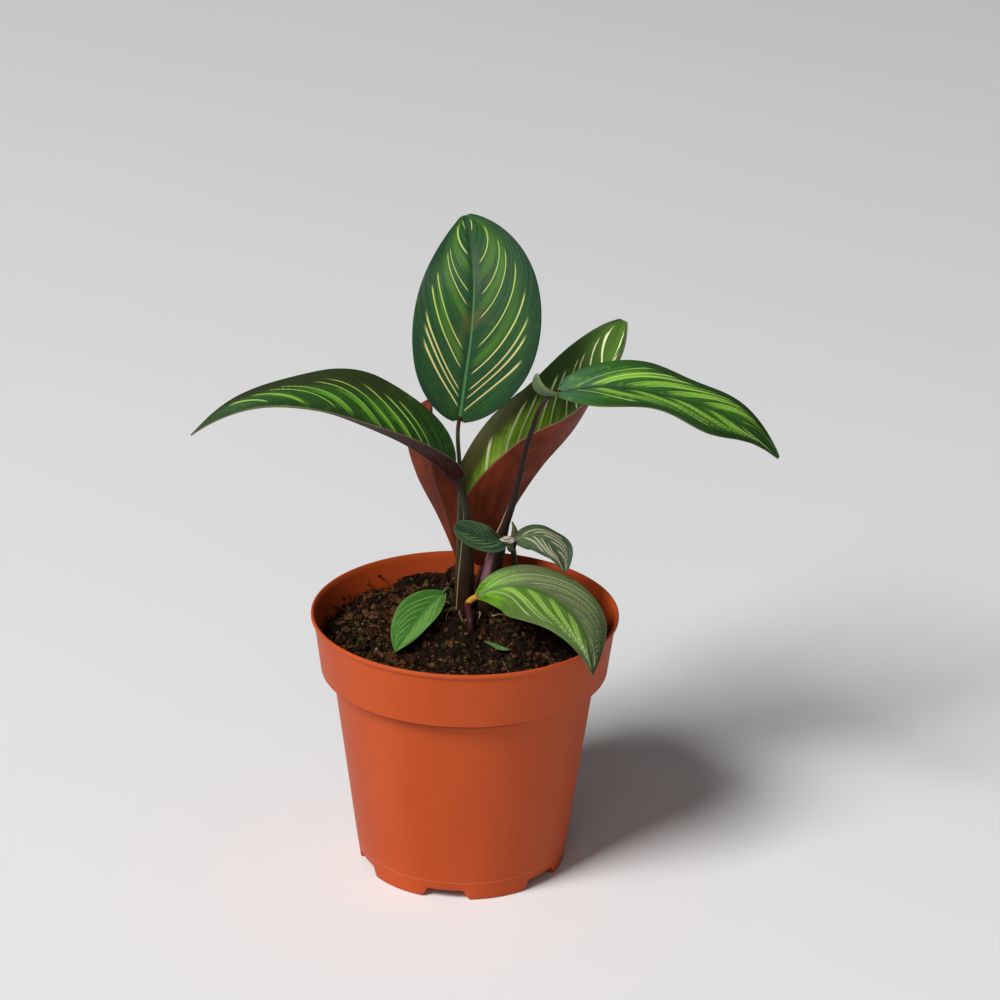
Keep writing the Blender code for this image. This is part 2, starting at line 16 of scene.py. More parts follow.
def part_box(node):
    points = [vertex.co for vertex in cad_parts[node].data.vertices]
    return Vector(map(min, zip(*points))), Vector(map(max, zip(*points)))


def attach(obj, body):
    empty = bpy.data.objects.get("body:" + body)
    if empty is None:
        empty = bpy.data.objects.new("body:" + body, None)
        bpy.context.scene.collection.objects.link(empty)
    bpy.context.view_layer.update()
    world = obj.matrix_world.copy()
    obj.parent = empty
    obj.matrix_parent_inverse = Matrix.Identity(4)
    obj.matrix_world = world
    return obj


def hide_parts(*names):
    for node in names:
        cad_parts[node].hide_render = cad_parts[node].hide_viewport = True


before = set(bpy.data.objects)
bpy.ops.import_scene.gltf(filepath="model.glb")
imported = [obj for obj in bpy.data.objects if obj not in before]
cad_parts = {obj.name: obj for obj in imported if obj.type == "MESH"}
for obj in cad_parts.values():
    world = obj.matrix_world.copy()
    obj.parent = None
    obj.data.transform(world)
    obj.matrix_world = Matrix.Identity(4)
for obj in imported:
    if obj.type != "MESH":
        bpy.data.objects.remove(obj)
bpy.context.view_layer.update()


# ---------------------------------------------------------------- nursery pot
# One thin wall of orange polypropylene, drawn hot over a mould: a rolled lip, a collar with a step
# under it, a tapering body, and a base lifted by six notches round its drain slots.

class Signal:
    """A value inside a material. Sums on it add Math nodes."""

    def __init__(self, finish, socket):
        self.finish, self.socket = finish, socket

    def math(self, operation, *values):
        return self.finish.node("ShaderNodeMath", {"operation": operation}, *values)

    def __add__(self, other):
        return self.math("ADD", self, other)

    def __sub__(self, other):
        return self.math("SUBTRACT", self, other)

    def __rsub__(self, other):
        return self.math("SUBTRACT", other, self)

    def __mul__(self, other):
        return self.math("MULTIPLY", self, other)

    def __pow__(self, other):
        return self.math("POWER", self, other)

    def __abs__(self):
        return self.math("ABSOLUTE", self)

    __radd__ = __add__
    __rmul__ = __mul__

    def at_most(self, other):
        return self.math("MINIMUM", self, other)

    def rise(self, low, high):
        """Smoothly 0 at low to 1 at high, or 1 to 0 where low is the larger."""
        return self.finish.node(
            "ShaderNodeMapRange", {"interpolation_type": "SMOOTHSTEP"}, self, low, high, 0.0, 1.0
        )


class Finish:
    """A material built on a Principled shader; every other node comes from node()."""

    def __init__(self, name, fixed):
        self.material = bpy.data.materials.new(name)
        self.material.use_nodes = True
        self.tree = self.material.node_tree
        self.shader = self.tree.nodes["Principled BSDF"]
        for socket, value in fixed.items():
            self.shader.inputs[socket].default_value = value

    def feed(self, socket, value):
        if isinstance(value, Signal):
            self.tree.links.new(value.socket, socket)
        elif socket.type == "RGBA":
            socket.default_value = (*value, 1.0)
        else:
            socket.default_value = value

    def node(self, kind, settings, *values, out=None, **named):
        made = self.tree.nodes.new(kind)
        for setting, value in settings.items():
            setattr(made, setting, value)
        for socket, value in zip(made.inputs, values):
            self.feed(socket, value)
        for name, value in named.items():
            name = name.replace("_", " ")
            self.feed(next(s for s in made.inputs if s.identifier == name), value)
        if out is None:
            return Signal(self, made.outputs[0])
        return Signal(self, next(s for s in made.outputs if s.identifier == out))

    def mix(self, share, first, second):
        made = self.tree.nodes.new("ShaderNodeMix")
        made.data_type = "RGBA"
        sockets = {s.identifier: s for s in made.inputs}
        self.feed(sockets["Factor_Float"], share)
        self.feed(sockets["A_Color"], first)
        self.feed(sockets["B_Color"], second)
        return Signal(self, next(s for s in made.outputs if s.identifier == "Result_Color"))

    def place(self):
        return self.node("ShaderNodeTexCoord", {}, out="Object")

    def parts(self, vector):
        split = self.node("ShaderNodeSeparateXYZ", {}, vector).socket.node
        return [Signal(self, socket) for socket in split.outputs]

    def carried(self, name):
        """The three numbers that a piece carries at each point, by name."""
        return self.parts(self.node("ShaderNodeAttribute", {"attribute_name": name}, out="Vector"))

    def stretch(self, vector, scales):
        return self.node("ShaderNodeVectorMath", {"operation": "MULTIPLY"}, vector, scales)

    def grain(self, vector, scale, detail=3.0, rough=0.5, out="Fac"):
        return self.node(
            "ShaderNodeTexNoise", {}, out=out, Vector=vector, Scale=scale, Detail=detail, Roughness=rough
        )

    def bump(self, height, distance, strength=1.0, normal=None):
        named = {} if normal is None else {"Normal": normal}
        return self.node(
            "ShaderNodeBump", {}, out="Normal", Strength=strength, Distance=distance, Height=height, **named
        )

    def show(self, **sockets):
        for name, value in sockets.items():
            self.feed(self.shader.inputs[name.replace("_", " ")], value)
        return self.material


def add_piece(name, bm, materials, nodes, smooth=True, crease=radians(40)):
    """Put a finished bmesh in the scene as a piece that stands for CAD nodes."""
    mesh = bpy.data.meshes.new(name)
    bm.to_mesh(mesh)
    bm.free()
    if smooth:
        mesh.shade_smooth()
        mesh.set_sharp_from_angle(angle=crease)
    for material in materials:
        mesh.materials.append(material)
    piece = bpy.data.objects.new(name, mesh)
    bpy.context.scene.collection.objects.link(piece)
    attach(piece, "root")
    if nodes:
        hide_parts(*nodes)
    return piece


POT_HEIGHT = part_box("nursery_pot")[1].z
LIP_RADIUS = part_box("nursery_pot")[1].x
LIP_HEIGHT = 0.0016
LIP_OVERHANG = 0.0010
COLLAR_HEIGHT = 0.0214
COLLAR_TAPER = 0.0026
STEP_DEPTH = 0.0040
COLLAR_TOP = LIP_RADIUS - LIP_OVERHANG
COLLAR_FOOT = COLLAR_TOP - COLLAR_TAPER
COLLAR_BOTTOM = POT_HEIGHT - COLLAR_HEIGHT
BODY_TOP = COLLAR_FOOT - STEP_DEPTH
FOOT_HEIGHT = 0.0070
FOOT_TOP = 0.0375
BASE_RADIUS = 0.0365
WALL = 0.0010
FLOOR = 0.0012
NOTCH_FIRST = radians(-99)
NOTCH_GAP = radians(60)
NOTCH_HALF = 0.00825
NOTCH_HEIGHT = 0.0035
NOTCH_END = BASE_RADIUS - 0.0075
DRAIN_INNER, DRAIN_OUTER = 0.02975, 0.03380
DRAIN_REACH = radians(7.6)
POT_STEPS = 240


def spun(outline, rounded, steps):
    """Outline of (radius, height) points with its corners rounded, then spun once round Z."""
    bm = bmesh.new()
    points = [bm.verts.new((radius, 0, height)) for radius, height in outline]
    for start, end in zip(points, points[1:]):
        bm.edges.new((start, end))
    for corner, offset in rounded.items():
        bmesh.ops.bevel(
            bm, geom=[points[corner]], offset=offset, offset_type="OFFSET", segments=4, profile=0.5,
            affect="VERTICES", material=-1,
        )
    bmesh.ops.spin(
        bm, geom=bm.verts[:] + bm.edges[:], axis=(0, 0, 1), cent=(0, 0, 0), angle=2 * pi, steps=steps,
        use_merge=True,
    )
    bmesh.ops.remove_doubles(bm, verts=bm.verts[:], dist=1e-6)
    bmesh.ops.recalc_face_normals(bm, faces=bm.faces[:])
    return bm


def off_notch(x, y):
    """Angle to the middle of the nearest drain notch."""
    turn = (atan2(y, x) - NOTCH_FIRST) % NOTCH_GAP
    return min(turn, NOTCH_GAP - turn)


def lift_over_notches(bm, clearance):
    """Raise what lies over a notch, easing out to nothing at the top of the foot."""
    for vert in bm.verts:
        radius = hypot(vert.co.x, vert.co.y)
        if vert.co.z > FOOT_HEIGHT or radius < NOTCH_END - 0.002:
            continue
        beside = BASE_RADIUS * off_notch(vert.co.x, vert.co.y)
        side = min(max((NOTCH_HALF + clearance - beside) / (NOTCH_HEIGHT / 2), 0), 1)
        end = min(max((radius - NOTCH_END + clearance) / 0.0008, 0), 1)
        lift = NOTCH_HEIGHT * side * end
        vert.co.z = lift + vert.co.z * (1 - lift / FOOT_HEIGHT)


def open_drains(bm):
    """Cut each slot through both skins of the base and wall it round."""
    bm.faces.ensure_lookup_table()
    slots = []
    for face in bm.faces:
        middle = face.calc_center_median()
        radius = hypot(middle.x, middle.y)
        if DRAIN_INNER < radius < DRAIN_OUTER and middle.z < FOOT_HEIGHT:
            if abs(face.normal.z) > 0.8 and off_notch(middle.x, middle.y) < DRAIN_REACH:
                slots.append(face)
    bmesh.ops.delete(bm, geom=slots, context="FACES")
    rims = {}
    for edge in bm.edges:
        if edge.is_boundary:
            middle = (edge.verts[0].co + edge.verts[1].co) / 2
            number = round((atan2(middle.y, middle.x) - NOTCH_FIRST) / NOTCH_GAP) % 6
            rims.setdefault(number, []).append(edge)
    for rim in rims.values():
        bmesh.ops.bridge_loops(bm, edges=rim)


base_rings = (0.0100, 0.0200, NOTCH_END - 0.0009, NOTCH_END, DRAIN_INNER, DRAIN_OUTER, 0.0350)
outline = [(0, 0)] + [(radius, 0) for radius in base_rings]
outline += [
    (BASE_RADIUS, 0), (BASE_RADIUS + 0.0004, 0.0030), (FOOT_TOP, FOOT_HEIGHT), (FOOT_TOP + 0.00012, 0.0074),
    (BODY_TOP, COLLAR_BOTTOM), (COLLAR_FOOT, COLLAR_BOTTOM), (COLLAR_TOP, POT_HEIGHT - LIP_HEIGHT),
    (LIP_RADIUS, POT_HEIGHT - LIP_HEIGHT), (LIP_RADIUS, POT_HEIGHT), (COLLAR_TOP + 0.0002, POT_HEIGHT),
    (COLLAR_TOP - WALL, POT_HEIGHT - LIP_HEIGHT), (COLLAR_FOOT - WALL, COLLAR_BOTTOM + WALL),
    (BODY_TOP - WALL, COLLAR_BOTTOM + WALL), (FOOT_TOP - WALL, FOOT_HEIGHT), (BASE_RADIUS - WALL, FLOOR),
]
outline += [(radius, FLOOR) for radius in reversed(base_rings[:-1])] + [(0, FLOOR)]
corner = len(base_rings) + 1
pot = spun(
    outline,
    {corner: 0.0007, corner + 4: 0.0004, corner + 5: 0.0006, corner + 7: 0.00055, corner + 8: 0.00055,
     corner + 9: 0.0003, corner + 11: 0.0012, corner + 12: 0.0010, corner + 6: 0.0004},
    POT_STEPS,
)
lift_over_notches(pot, 0)
open_drains(pot)
bmesh.ops.recalc_face_normals(pot, faces=pot.faces[:])

plastic = Finish("orange_plastic", {"Specular IOR Level": 0.16, "Metallic": 0.0})
place = plastic.place()
x, y, z = plastic.parts(place)
flow = plastic.grain(plastic.stretch(place, (1, 1, 0.35)), 26, 4)
speck = plastic.grain(place, 900, 2)
dust = plastic.grain(place, 310, 5, 0.65)
smear = plastic.grain(plastic.stretch(place, (1, 1, 0.6)), 90, 4, 0.6)
shell = plastic.mix(flow.rise(0.3, 0.7), (0.450, 0.062, 0.011), (0.515, 0.078, 0.015))
shell = plastic.mix(speck.rise(0.45, 0.8) * 0.15, shell, (0.560, 0.120, 0.040))
inside = (x * x + y * y) ** 0.5
collar_line = inside - (z - COLLAR_BOTTOM) * (COLLAR_TAPER / (COLLAR_HEIGHT - LIP_HEIGHT))
inner = inside.rise(COLLAR_TOP - 0.0004, COLLAR_TOP - WALL - 0.0003)
inner = inner * z.rise(POT_HEIGHT, POT_HEIGHT - 0.003)
inner = inner * collar_line.rise(COLLAR_FOOT - 0.0003, COLLAR_FOOT - 0.0007)
inner = inner * z.rise(COLLAR_BOTTOM - 0.0002, COLLAR_BOTTOM + 0.0002)
shell = plastic.mix(inner * 0.35, shell, (0.430, 0.056, 0.012))
soil_line = z + smear * 0.010
stain = inner * soil_line.rise(POT_HEIGHT - 0.0005, POT_HEIGHT - 0.0065) * dust.rise(0.48, 0.62)
shell = plastic.mix(stain * 0.85, shell, (0.045, 0.018, 0.009))
# Painted highlight: a lighter line along the crease at the top of the foot, where the crease catches the
# light.
painted_crease_highlight = abs(z - FOOT_HEIGHT - 0.0001).rise(0.00030, 0.00005)
painted_crease_highlight = painted_crease_highlight * inside.rise(FOOT_TOP - 0.0006, FOOT_TOP - 0.0002)
shell = plastic.mix(painted_crease_highlight * (0.35 + flow * 0.5), shell, (0.640, 0.160, 0.070))
# Painted shadow: a dark band on the body just under the collar's step, where the step's shadow falls.
painted_collar_shadow = z.rise(COLLAR_BOTTOM - 0.0028, COLLAR_BOTTOM - 0.0010)
painted_collar_shadow = painted_collar_shadow * z.rise(COLLAR_BOTTOM + 0.0004, COLLAR_BOTTOM + 0.0002)
shell = plastic.mix(painted_collar_shadow * inside.rise(FOOT_TOP, FOOT_TOP + 0.001) * 0.95, shell, (0.085, 0.009, 0.002))
foot_dirt = z.rise(0.004, 0.0) * dust.rise(0.52, 0.7) * 0.35
shell = plastic.mix(foot_dirt, shell, (0.200, 0.045, 0.018))
peel = plastic.grain(place, 620, 2) * 0.5 + plastic.grain(plastic.stretch(place, (1, 1, 0.2)), 160, 2)
add_piece(
    "pot", pot,
    [plastic.show(
        Base_Color=shell, Roughness=0.44 + flow * 0.14 + stain * 0.35,
        Normal=plastic.bump(peel, 0.00006, 0.5, plastic.bump(dust * stain, 0.0003)),
    )],
    ["nursery_pot"], crease=radians(32),
)


# ---------------------------------------------------------------- potting mix
# Dark, coarse peat that fills the pot to a finger's width below the lip and is heaped round the
# crown: lumps, crumbs and short brown fibres, with a little perlite and bark mixed in.

GAP = 0.0003
FILL_DROP = 0.0105
MOUND = 0.0054
CROWN_LEVEL = POT_HEIGHT - FILL_DROP + MOUND
CROWN_X, CROWN_Y = 0.003, 0.016
CROWN_FLAT, CROWN_FALL = 0.013, 0.021
MIX_LEVEL = CROWN_LEVEL - MOUND
MIX_RADIUS = COLLAR_FOOT + COLLAR_TAPER * (MIX_LEVEL - COLLAR_BOTTOM) / COLLAR_HEIGHT - WALL - 2 * GAP
MIX_RINGS, MIX_STEPS = 120, 440
LUMPS = ((0.0068, 0.0019), (0.0034, 0.0012), (0.0016, 0.0006))


def mix_height(x, y):
    """The even mound: flat under the crown, falling smoothly to the pot's wall."""
    fall = min(max((hypot(x - CROWN_X, y - CROWN_Y) - CROWN_FLAT) / CROWN_FALL, 0), 1)
    return CROWN_LEVEL - MOUND * fall * fall * (3 - 2 * fall)


def mix_top(x, y):
    """The mound with its lumps and pores, drawn up against the wall behind the crown."""
    height = mix_height(x, y) - 0.0002
    behind = max(0, 1 - hypot(x + 0.012, y - 0.044) / 0.034)
    height += 0.0052 * behind * behind * (3 - 2 * behind) * (0.8 + 0.5 * noise.noise((x * 160, y * 160, 0)))
    height += 0.0016 * noise.noise((x * 75, y * 75, 4.0)) * min(1, hypot(x - CROWN_X, y - CROWN_Y) / 0.02)
    for size, depth in LUMPS:
        near = noise.voronoi((x / size, y / size, 700 * size))[0]
        height += depth * (0.35 - 1.25 * near[0] * near[0])
    return height + 0.0008 * noise.fractal((x * 900, y * 900, 3.0), 0.8, 2.1, 4)


outline = [(MIX_RADIUS * ring / MIX_RINGS, MIX_LEVEL) for ring in range(MIX_RINGS + 1)]
outline += [
    (MIX_RADIUS - 0.0004, MIX_LEVEL - 0.0030),
    (COLLAR_FOOT - WALL - GAP, COLLAR_BOTTOM + WALL + GAP),
    (BODY_TOP - WALL - GAP, COLLAR_BOTTOM + WALL + GAP),
    (FOOT_TOP - WALL - GAP, FOOT_HEIGHT), (BASE_RADIUS - WALL - GAP, FLOOR + GAP),
    (NOTCH_END - WALL, FLOOR + GAP), (0.0270, FLOOR + GAP), (0, FLOOR + GAP),
]
heap = spun(outline, {}, MIX_STEPS)
for vert in heap.verts:
    if vert.co.z > MIX_LEVEL - GAP:
        x, y = vert.co.x, vert.co.y
        vert.co.z = mix_top(x, y)
lift_over_notches(heap, WALL + GAP)


def peat_finish(name, dark, light, tinged):
    """Dull, fibrous and crumbly; a piece of many bits carries a tone for each bit."""
    peat = Finish(name, {"Specular IOR Level": 0.12, "Metallic": 0.0})
    place = peat.place()
    tone = peat.carried("tone")[0]
    clod = peat.grain(place, 420, 4, 0.65)
    fleck = peat.grain(place, 1500, 3, 0.6)
    patch = peat.grain(place, 130, 2)
    body = peat.mix((clod * 0.75 + tone * 0.6 + fleck * 0.25 - 0.25).rise(0.2, 0.95), dark, light)
    body = peat.mix(patch.rise(0.55, 0.72) * fleck.rise(0.45, 0.7) * 0.7, body, tinged)
    bits = peat.node("ShaderNodeTexVoronoi", {"feature": "F1"}, out="Color", Vector=place, Scale=720.0)
    pale, other = peat.parts(bits)[:2]
    body = peat.mix(pale.rise(0.965, 0.975) * 0.5, body, (0.230, 0.120, 0.052))
    body = peat.mix(other.rise(0.962, 0.972) * 0.5, body, (0.110, 0.100, 0.018))
    return peat.show(
        Base_Color=body, Roughness=0.82 + fleck * 0.18,
        Normal=peat.bump(fleck, 0.0004, 0.8, peat.bump(clod, 0.0008, 0.9)),
    )


peat = peat_finish("peat", (0.007, 0.0032, 0.0014), (0.125, 0.048, 0.017), (0.240, 0.082, 0.028))
add_piece("potting_mix_heap", heap, [peat], ["potting_mix"], crease=radians(60))

draw = Random(11)


def somewhere(limit):
    turn, reach = draw.uniform(0, 2 * pi), limit * draw.random() ** 0.5
    return reach * cos(turn), reach * sin(turn)


def with_tone(piece, tones):
    """Give each point of a piece made of many bits its bit's own tone."""
    carried = piece.data.attributes.new("tone", "FLOAT_VECTOR", "POINT")
    carried.data.foreach_set("vector", np.repeat(tones, 3).astype(np.float32))


def rough_lump(bm, spot, size, turned, jag, finer=2):
    """A grain: a ball stretched to size, with its surface broken up."""
    lump = bmesh.ops.create_icosphere(
        bm, subdivisions=finer, radius=0.5,
        matrix=Matrix.Translation(spot) @ turned.to_4x4() @ Matrix.Diagonal((*size, 1)),
    )["verts"]
    for vert in lump:
        wave = noise.noise_vector(vert.co * 1400)
        vert.co += jag * Vector((wave.x * size[0], wave.y * size[1], wave.z * size[2]))
    return lump


crumbs, tones = bmesh.new(), []
for number in range(1500):
    x, y = somewhere(MIX_RADIUS - 0.0012)
    size = 0.0007 + 0.0024 * draw.random() ** 2.6
    turned = Euler([draw.uniform(0, 6) for axis in range(3)]).to_matrix().to_4x4()
    shape = Matrix.Diagonal((size, size * draw.uniform(0.6, 1), size * draw.uniform(0.45, 0.9), 1))
    spot = Matrix.Translation((x, y, mix_top(x, y) + size * draw.uniform(0.0, 0.28)))
    bit = bmesh.ops.create_icosphere(
        crumbs, subdivisions=1, radius=0.5, matrix=spot @ turned @ shape,
    )["verts"]
    for vert in bit:
        vert.co += Vector([draw.uniform(-0.12, 0.12) * size for axis in range(3)])
    tones += [draw.random() ** 2] * len(bit)
for number in range(90):
    turn, reach = draw.gauss(radians(150), radians(50)), MIX_RADIUS * draw.uniform(0.45, 0.93)
    x, y = reach * cos(turn), reach * sin(turn)
    size = draw.uniform(0.0028, 0.0050)
    bit = rough_lump(crumbs, (x, y, mix_top(x, y) + size * 0.10), (size, size * 0.8, size * 0.6),
                     Euler((0, 0, turn * 7)).to_matrix(), 0.34)
    tones += [draw.uniform(0.1, 0.6)] * len(bit)
for number in range(70):
    turn = draw.gauss(radians(118), radians(50))
    level = MIX_LEVEL + 0.0062 * draw.random() ** 2.2
    size = draw.uniform(0.0005, 0.0015)
    reach = COLLAR_FOOT + COLLAR_TAPER * (level - COLLAR_BOTTOM) / COLLAR_HEIGHT - WALL - size * 0.42
    spot = Matrix.Translation((reach * cos(turn), reach * sin(turn), level))
    turned = Euler([draw.uniform(0, 6) for axis in range(3)]).to_matrix().to_4x4()
    shape = Matrix.Diagonal((size, size, size * 0.7, 1))
    bit = bmesh.ops.create_icosphere(
        crumbs, subdivisions=1, radius=0.5, matrix=spot @ turned @ shape,
    )["verts"]
    tones += [draw.random()] * len(bit)
with_tone(add_piece("peat_crumbs", crumbs, [peat], [], smooth=False), tones)


def unit(vectors):
    return vectors / np.linalg.norm(vectors, axis=-1, keepdims=True)


def hermite(knots, values, shares):
    """Smooth values at shares 0 to 1 between rows of values at the knots."""
    slopes = np.gradient(values, knots, axis=0, edge_order=2 if len(values) > 2 else 1)
    shares = np.asarray(shares, float)
    span = np.clip(np.searchsorted(knots, shares, side="right") - 1, 0, len(values) - 2)
    width = (knots[span + 1] - knots[span])[:, None]
    x = ((shares - knots[span]) / (knots[span + 1] - knots[span]))[:, None]
    return (
        (2 * x**3 - 3 * x**2 + 1) * values[span]
        + (x**3 - 2 * x**2 + x) * width * slopes[span]
        + (3 * x**2 - 2 * x**3) * values[span + 1]
        + (x**3 - x**2) * width * slopes[span + 1]
    )


def smooth_curve(points, shares):
    """Points of one smooth curve through the given points, at shares 0 to 1 of its length."""
    points = np.array(points, float)
    knots = np.r_[0, np.cumsum(np.linalg.norm(np.diff(points, axis=0), axis=1))]
    return hermite(knots / knots[-1], points, shares)


def heading(points, shares):
    """The direction in which a smooth curve runs at each share of its length."""
    before, after = (smooth_curve(points, np.clip(shares + step, 0, 1)) for step in (-1e-3, 1e-3))
    return unit(after - before)


def tube(bm, points, radii, along, around, wrap=0.0, edge=0.0, facing=(1, 0, 0)):
    """A closed stem on a smooth curve: a grid rolled up round it, its end rows drawn to a point.

    wrap winds the section as a sheath winds, leaving a step at the angle edge. Returns the verts
    and what each carries: its share of the length, of the turn from the edge, and its radius.
    """
    grid = bmesh.ops.create_grid(bm, x_segments=along, y_segments=around, size=1)["verts"]
    column = np.array([(vert.co.y + 1) / 2 for vert in grid]) * around
    row = np.round(np.array([(vert.co.x + 1) / 2 for vert in grid]) * along)
    share = np.clip((row - 1) / (along - 2), 0, 1)
    column = np.round(column)
    turn = np.where(column >= around, 0.0, column / (around - 1) * 0.996)
    radius = np.interp(share, np.linspace(0, 1, len(radii)), radii)
    lifted = np.interp(share, np.linspace(0, 1, 4), np.full(4, wrap) if np.isscalar(wrap) else wrap)
    radius = radius * (1 + lifted * (1 - turn)) * np.where((row == 0) | (row == along), 0, 1)
    middle = smooth_curve(points, share)
    ahead = heading(points, share)
    side = np.array(facing, float)
    side = unit(side - np.sum(side * ahead, axis=1, keepdims=True) * ahead)
    other = np.cross(ahead, side)
    angle = (turn * 2 * pi + edge)[:, None]
    spots = middle + radius[:, None] * (np.cos(angle) * side + np.sin(angle) * other)
    for vert, spot in zip(grid, spots):
        vert.co = spot
    return grid, np.stack([share, turn, radius * 1000], axis=1)


def close_up(bm):
    """Join the seams and end points of rolled grids, and turn their faces outwards."""
    bmesh.ops.remove_doubles(bm, verts=bm.verts[:], dist=1e-7)
    bmesh.ops.recalc_face_normals(bm, faces=bm.faces[:])


fibres = bmesh.new()
for number in range(420):
    x, y = somewhere(MIX_RADIUS - 0.004)
    turn, reach = draw.uniform(0, 2 * pi), draw.uniform(0.0018, 0.0065)
    bend = draw.uniform(-0.35, 0.35) * reach
    route = []
    for share in (-0.5, 0.0, 0.5):
        ahead, aside = share * reach, bend * (0.25 - share * share)
        px = x + ahead * cos(turn) - aside * sin(turn)
        py = y + ahead * sin(turn) + aside * cos(turn)
        route.append((px, py, mix_top(px, py) + draw.uniform(0.0001, 0.0009)))
    thick = draw.uniform(0.00009, 0.00022)
    tube(fibres, route, (thick, thick, thick * 0.5), 5, 4, facing=(0, 0, 1))
close_up(fibres)
brown_fibre = peat_finish(
    "brown_fibre", (0.040, 0.016, 0.008), (0.190, 0.080, 0.036), (0.300, 0.180, 0.090),
)
add_piece("peat_fibres", fibres, [brown_fibre], [])

# Perlite and bark: the larger grains lie where the frame has them, with small flecks among them.

grains = bmesh.new()
for number in range(1, 9):
    low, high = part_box(f"perlite_grain_{number}")
    middle = (low + high) / 2
    middle.z = mix_top(middle.x, middle.y) + 0.0002
    rough_lump(grains, middle, (high - low) * 0.85, Euler((0, 0, number)).to_matrix(), 0.30)
for number in range(16):
    x, y = somewhere(MIX_RADIUS - 0.002)
    size = draw.uniform(0.0003, 0.0008)
    rough_lump(grains, (x, y, mix_top(x, y) + 0.0001), (size, size * 0.8, size * 0.6),
               Euler((0, 0, x * 900)).to_matrix(), 0.2, 1)
perlite = Finish("perlite_grain", {"Specular IOR Level": 0.3, "Metallic": 0.0})
place = perlite.place()
pores = perlite.grain(place, 2600, 3, 0.6)
chalk = perlite.grain(place, 700, 3).rise(0.35, 0.7)
chalk = perlite.mix(chalk, (0.140, 0.100, 0.066), (0.340, 0.280, 0.200))
add_piece(
    "perlite", grains,
    [perlite.show(Base_Color=chalk, Roughness=0.8 + pores * 0.15, Normal=perlite.bump(pores, 0.0002))],
    [f"perlite_grain_{number}" for number in range(1, 9)],
)

chips = bmesh.new()
for number in range(1, 9):
    low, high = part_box(f"bark_chip_{number}")
    middle = (low + high) / 2
    middle.z = mix_top(middle.x, middle.y) + 0.0003
    across = high - low
    turn = Euler((0.2 * sin(number * 2.0), 0.25 * cos(number * 3.0), 0.4 * number)).to_matrix()
    rough_lump(chips, middle, (across.x * 0.7, across.y * 0.6, 0.0012), turn, 0.35)
for number in range(90):
    x, y = somewhere(MIX_RADIUS - 0.003)
    length = draw.uniform(0.0015, 0.0042)
    turn = Euler((draw.uniform(-0.4, 0.4), draw.uniform(-0.3, 0.3), draw.uniform(0, pi))).to_matrix()
    rough_lump(chips, (x, y, mix_top(x, y) + 0.0003), (length, length * 0.35, length * 0.25), turn, 0.3, 1)
bark = Finish("bark_chip", {"Specular IOR Level": 0.3, "Metallic": 0.0})
place = bark.place()
ply = bark.grain(bark.stretch(place, (1, 1, 4)), 900, 4, 0.6)
add_piece(
    "bark_chips", chips,
    [bark.show(
        Base_Color=bark.mix(ply.rise(0.3, 0.7), (0.028, 0.012, 0.007), (0.150, 0.060, 0.028)),
        Roughness=0.75 + ply * 0.2, Normal=bark.bump(ply, 0.0005),
    )],
    [f"bark_chip_{number}" for number in range(1, 9)], smooth=False,
)


# ---------------------------------------------------------------- rootlets
# Pale fibrous roots show where the mix has settled round the crown, each thinning towards its tip.

roots = bmesh.new()
heads = ((206, 0.0065, 0.0085), (232, 0.0075, 0.0095), (262, 0.0060, 0.0070), (318, 0.0080, 0.0085),
         (216, 0.0090, 0.0060), (246, 0.0065, 0.0055), (275, 0.0085, 0.0050), (190, 0.0075, 0.0065))
for number, (turn, start, reach) in enumerate(heads):
    ahead = Vector((cos(radians(turn)), sin(radians(turn)), 0))
    aside = Vector((-ahead.y, ahead.x, 0)) * 0.0016 * (-1) ** number
    route = []
    for share in (0, 0.3, 0.6, 1):
        spot = Vector((CROWN_X, CROWN_Y, 0)) + ahead * (start + reach * share) + aside * sin(4 * share)
        lift = 0.0012 * sin(pi * share) + 0.0003
        route.append((spot.x, spot.y, mix_top(spot.x, spot.y) + lift))
    tube(roots, route, (0.00038, 0.0003, 0.00012), 14, 7, facing=(0, 0, 1))
close_up(roots)
root_skin = Finish("root_skin", {"Specular IOR Level": 0.3, "Metallic": 0.0})
place = root_skin.place()
soiled = root_skin.grain(place, 900, 4, 0.6)
add_piece(
    "crown_rootlets", roots,
    [root_skin.show(
        Base_Color=root_skin.mix(soiled.rise(0.35, 0.62), (0.110, 0.055, 0.026), (0.420, 0.270, 0.130)),
        Roughness=0.8 + soiled * 0.1, Normal=root_skin.bump(soiled, 0.0002),
    )],
    [f"rootlet_{number}" for number in range(1, 5)],
)


# ---------------------------------------------------------------- leaf blades
# Thin, slightly pleated blades. Fine pale lines run from near the midrib and sweep to the tip in
# pairs on the upper face; the under face is wine red on the large leaves and pale on the low ones.

@dataclass
class Leaf:
    """One blade. Pairs are (left half, right half); triples run base, middle, tip.

    midrib, face  points along the midrib, and directions that the upper face looks in
    half          half width at the widest place; left_share is the left half's share of it
    base, tip     how slowly each half opens from the base and closes to the tip
    fold, curl    degrees that each half is lifted, and that it bends by its margin
    sweep         how far the margin's start is swept back past the base
    lean          how far the side veins run towards the tip before they meet the margin
    frill         share by which each half swells and narrows twice along it, and where it starts
    pleat, wave   depth of the pleats between side veins, and of the blade's slow waves
    along, across faces along the blade and across both halves
    """

    name: str
    midrib: list
    face: list
    half: float
    base: tuple = (0.5, 0.5)
    tip: tuple = (0.8, 0.8)
    fold: tuple = (0, 0)
    curl: tuple = (0, 0)
    sweep: tuple = (0, 0)
    left_share: float = 1.0
    lean: float = 0.40
    frill: tuple = ((0, 0), (0, 0))
    pleat: float = 0.00010
    wave: float = 0.0004
    along: int = 110
    across: int = 64


BLADE_START, BLADE_END = 0.006, 0.992
RIGHT_HALF = 4.0  # added to the start of every side vein on the right half, to tell it from the left
PLEAT_PITCH = 0.052
GROOVE_DEPTH, GROOVE_HALF = 0.00035, 0.0011


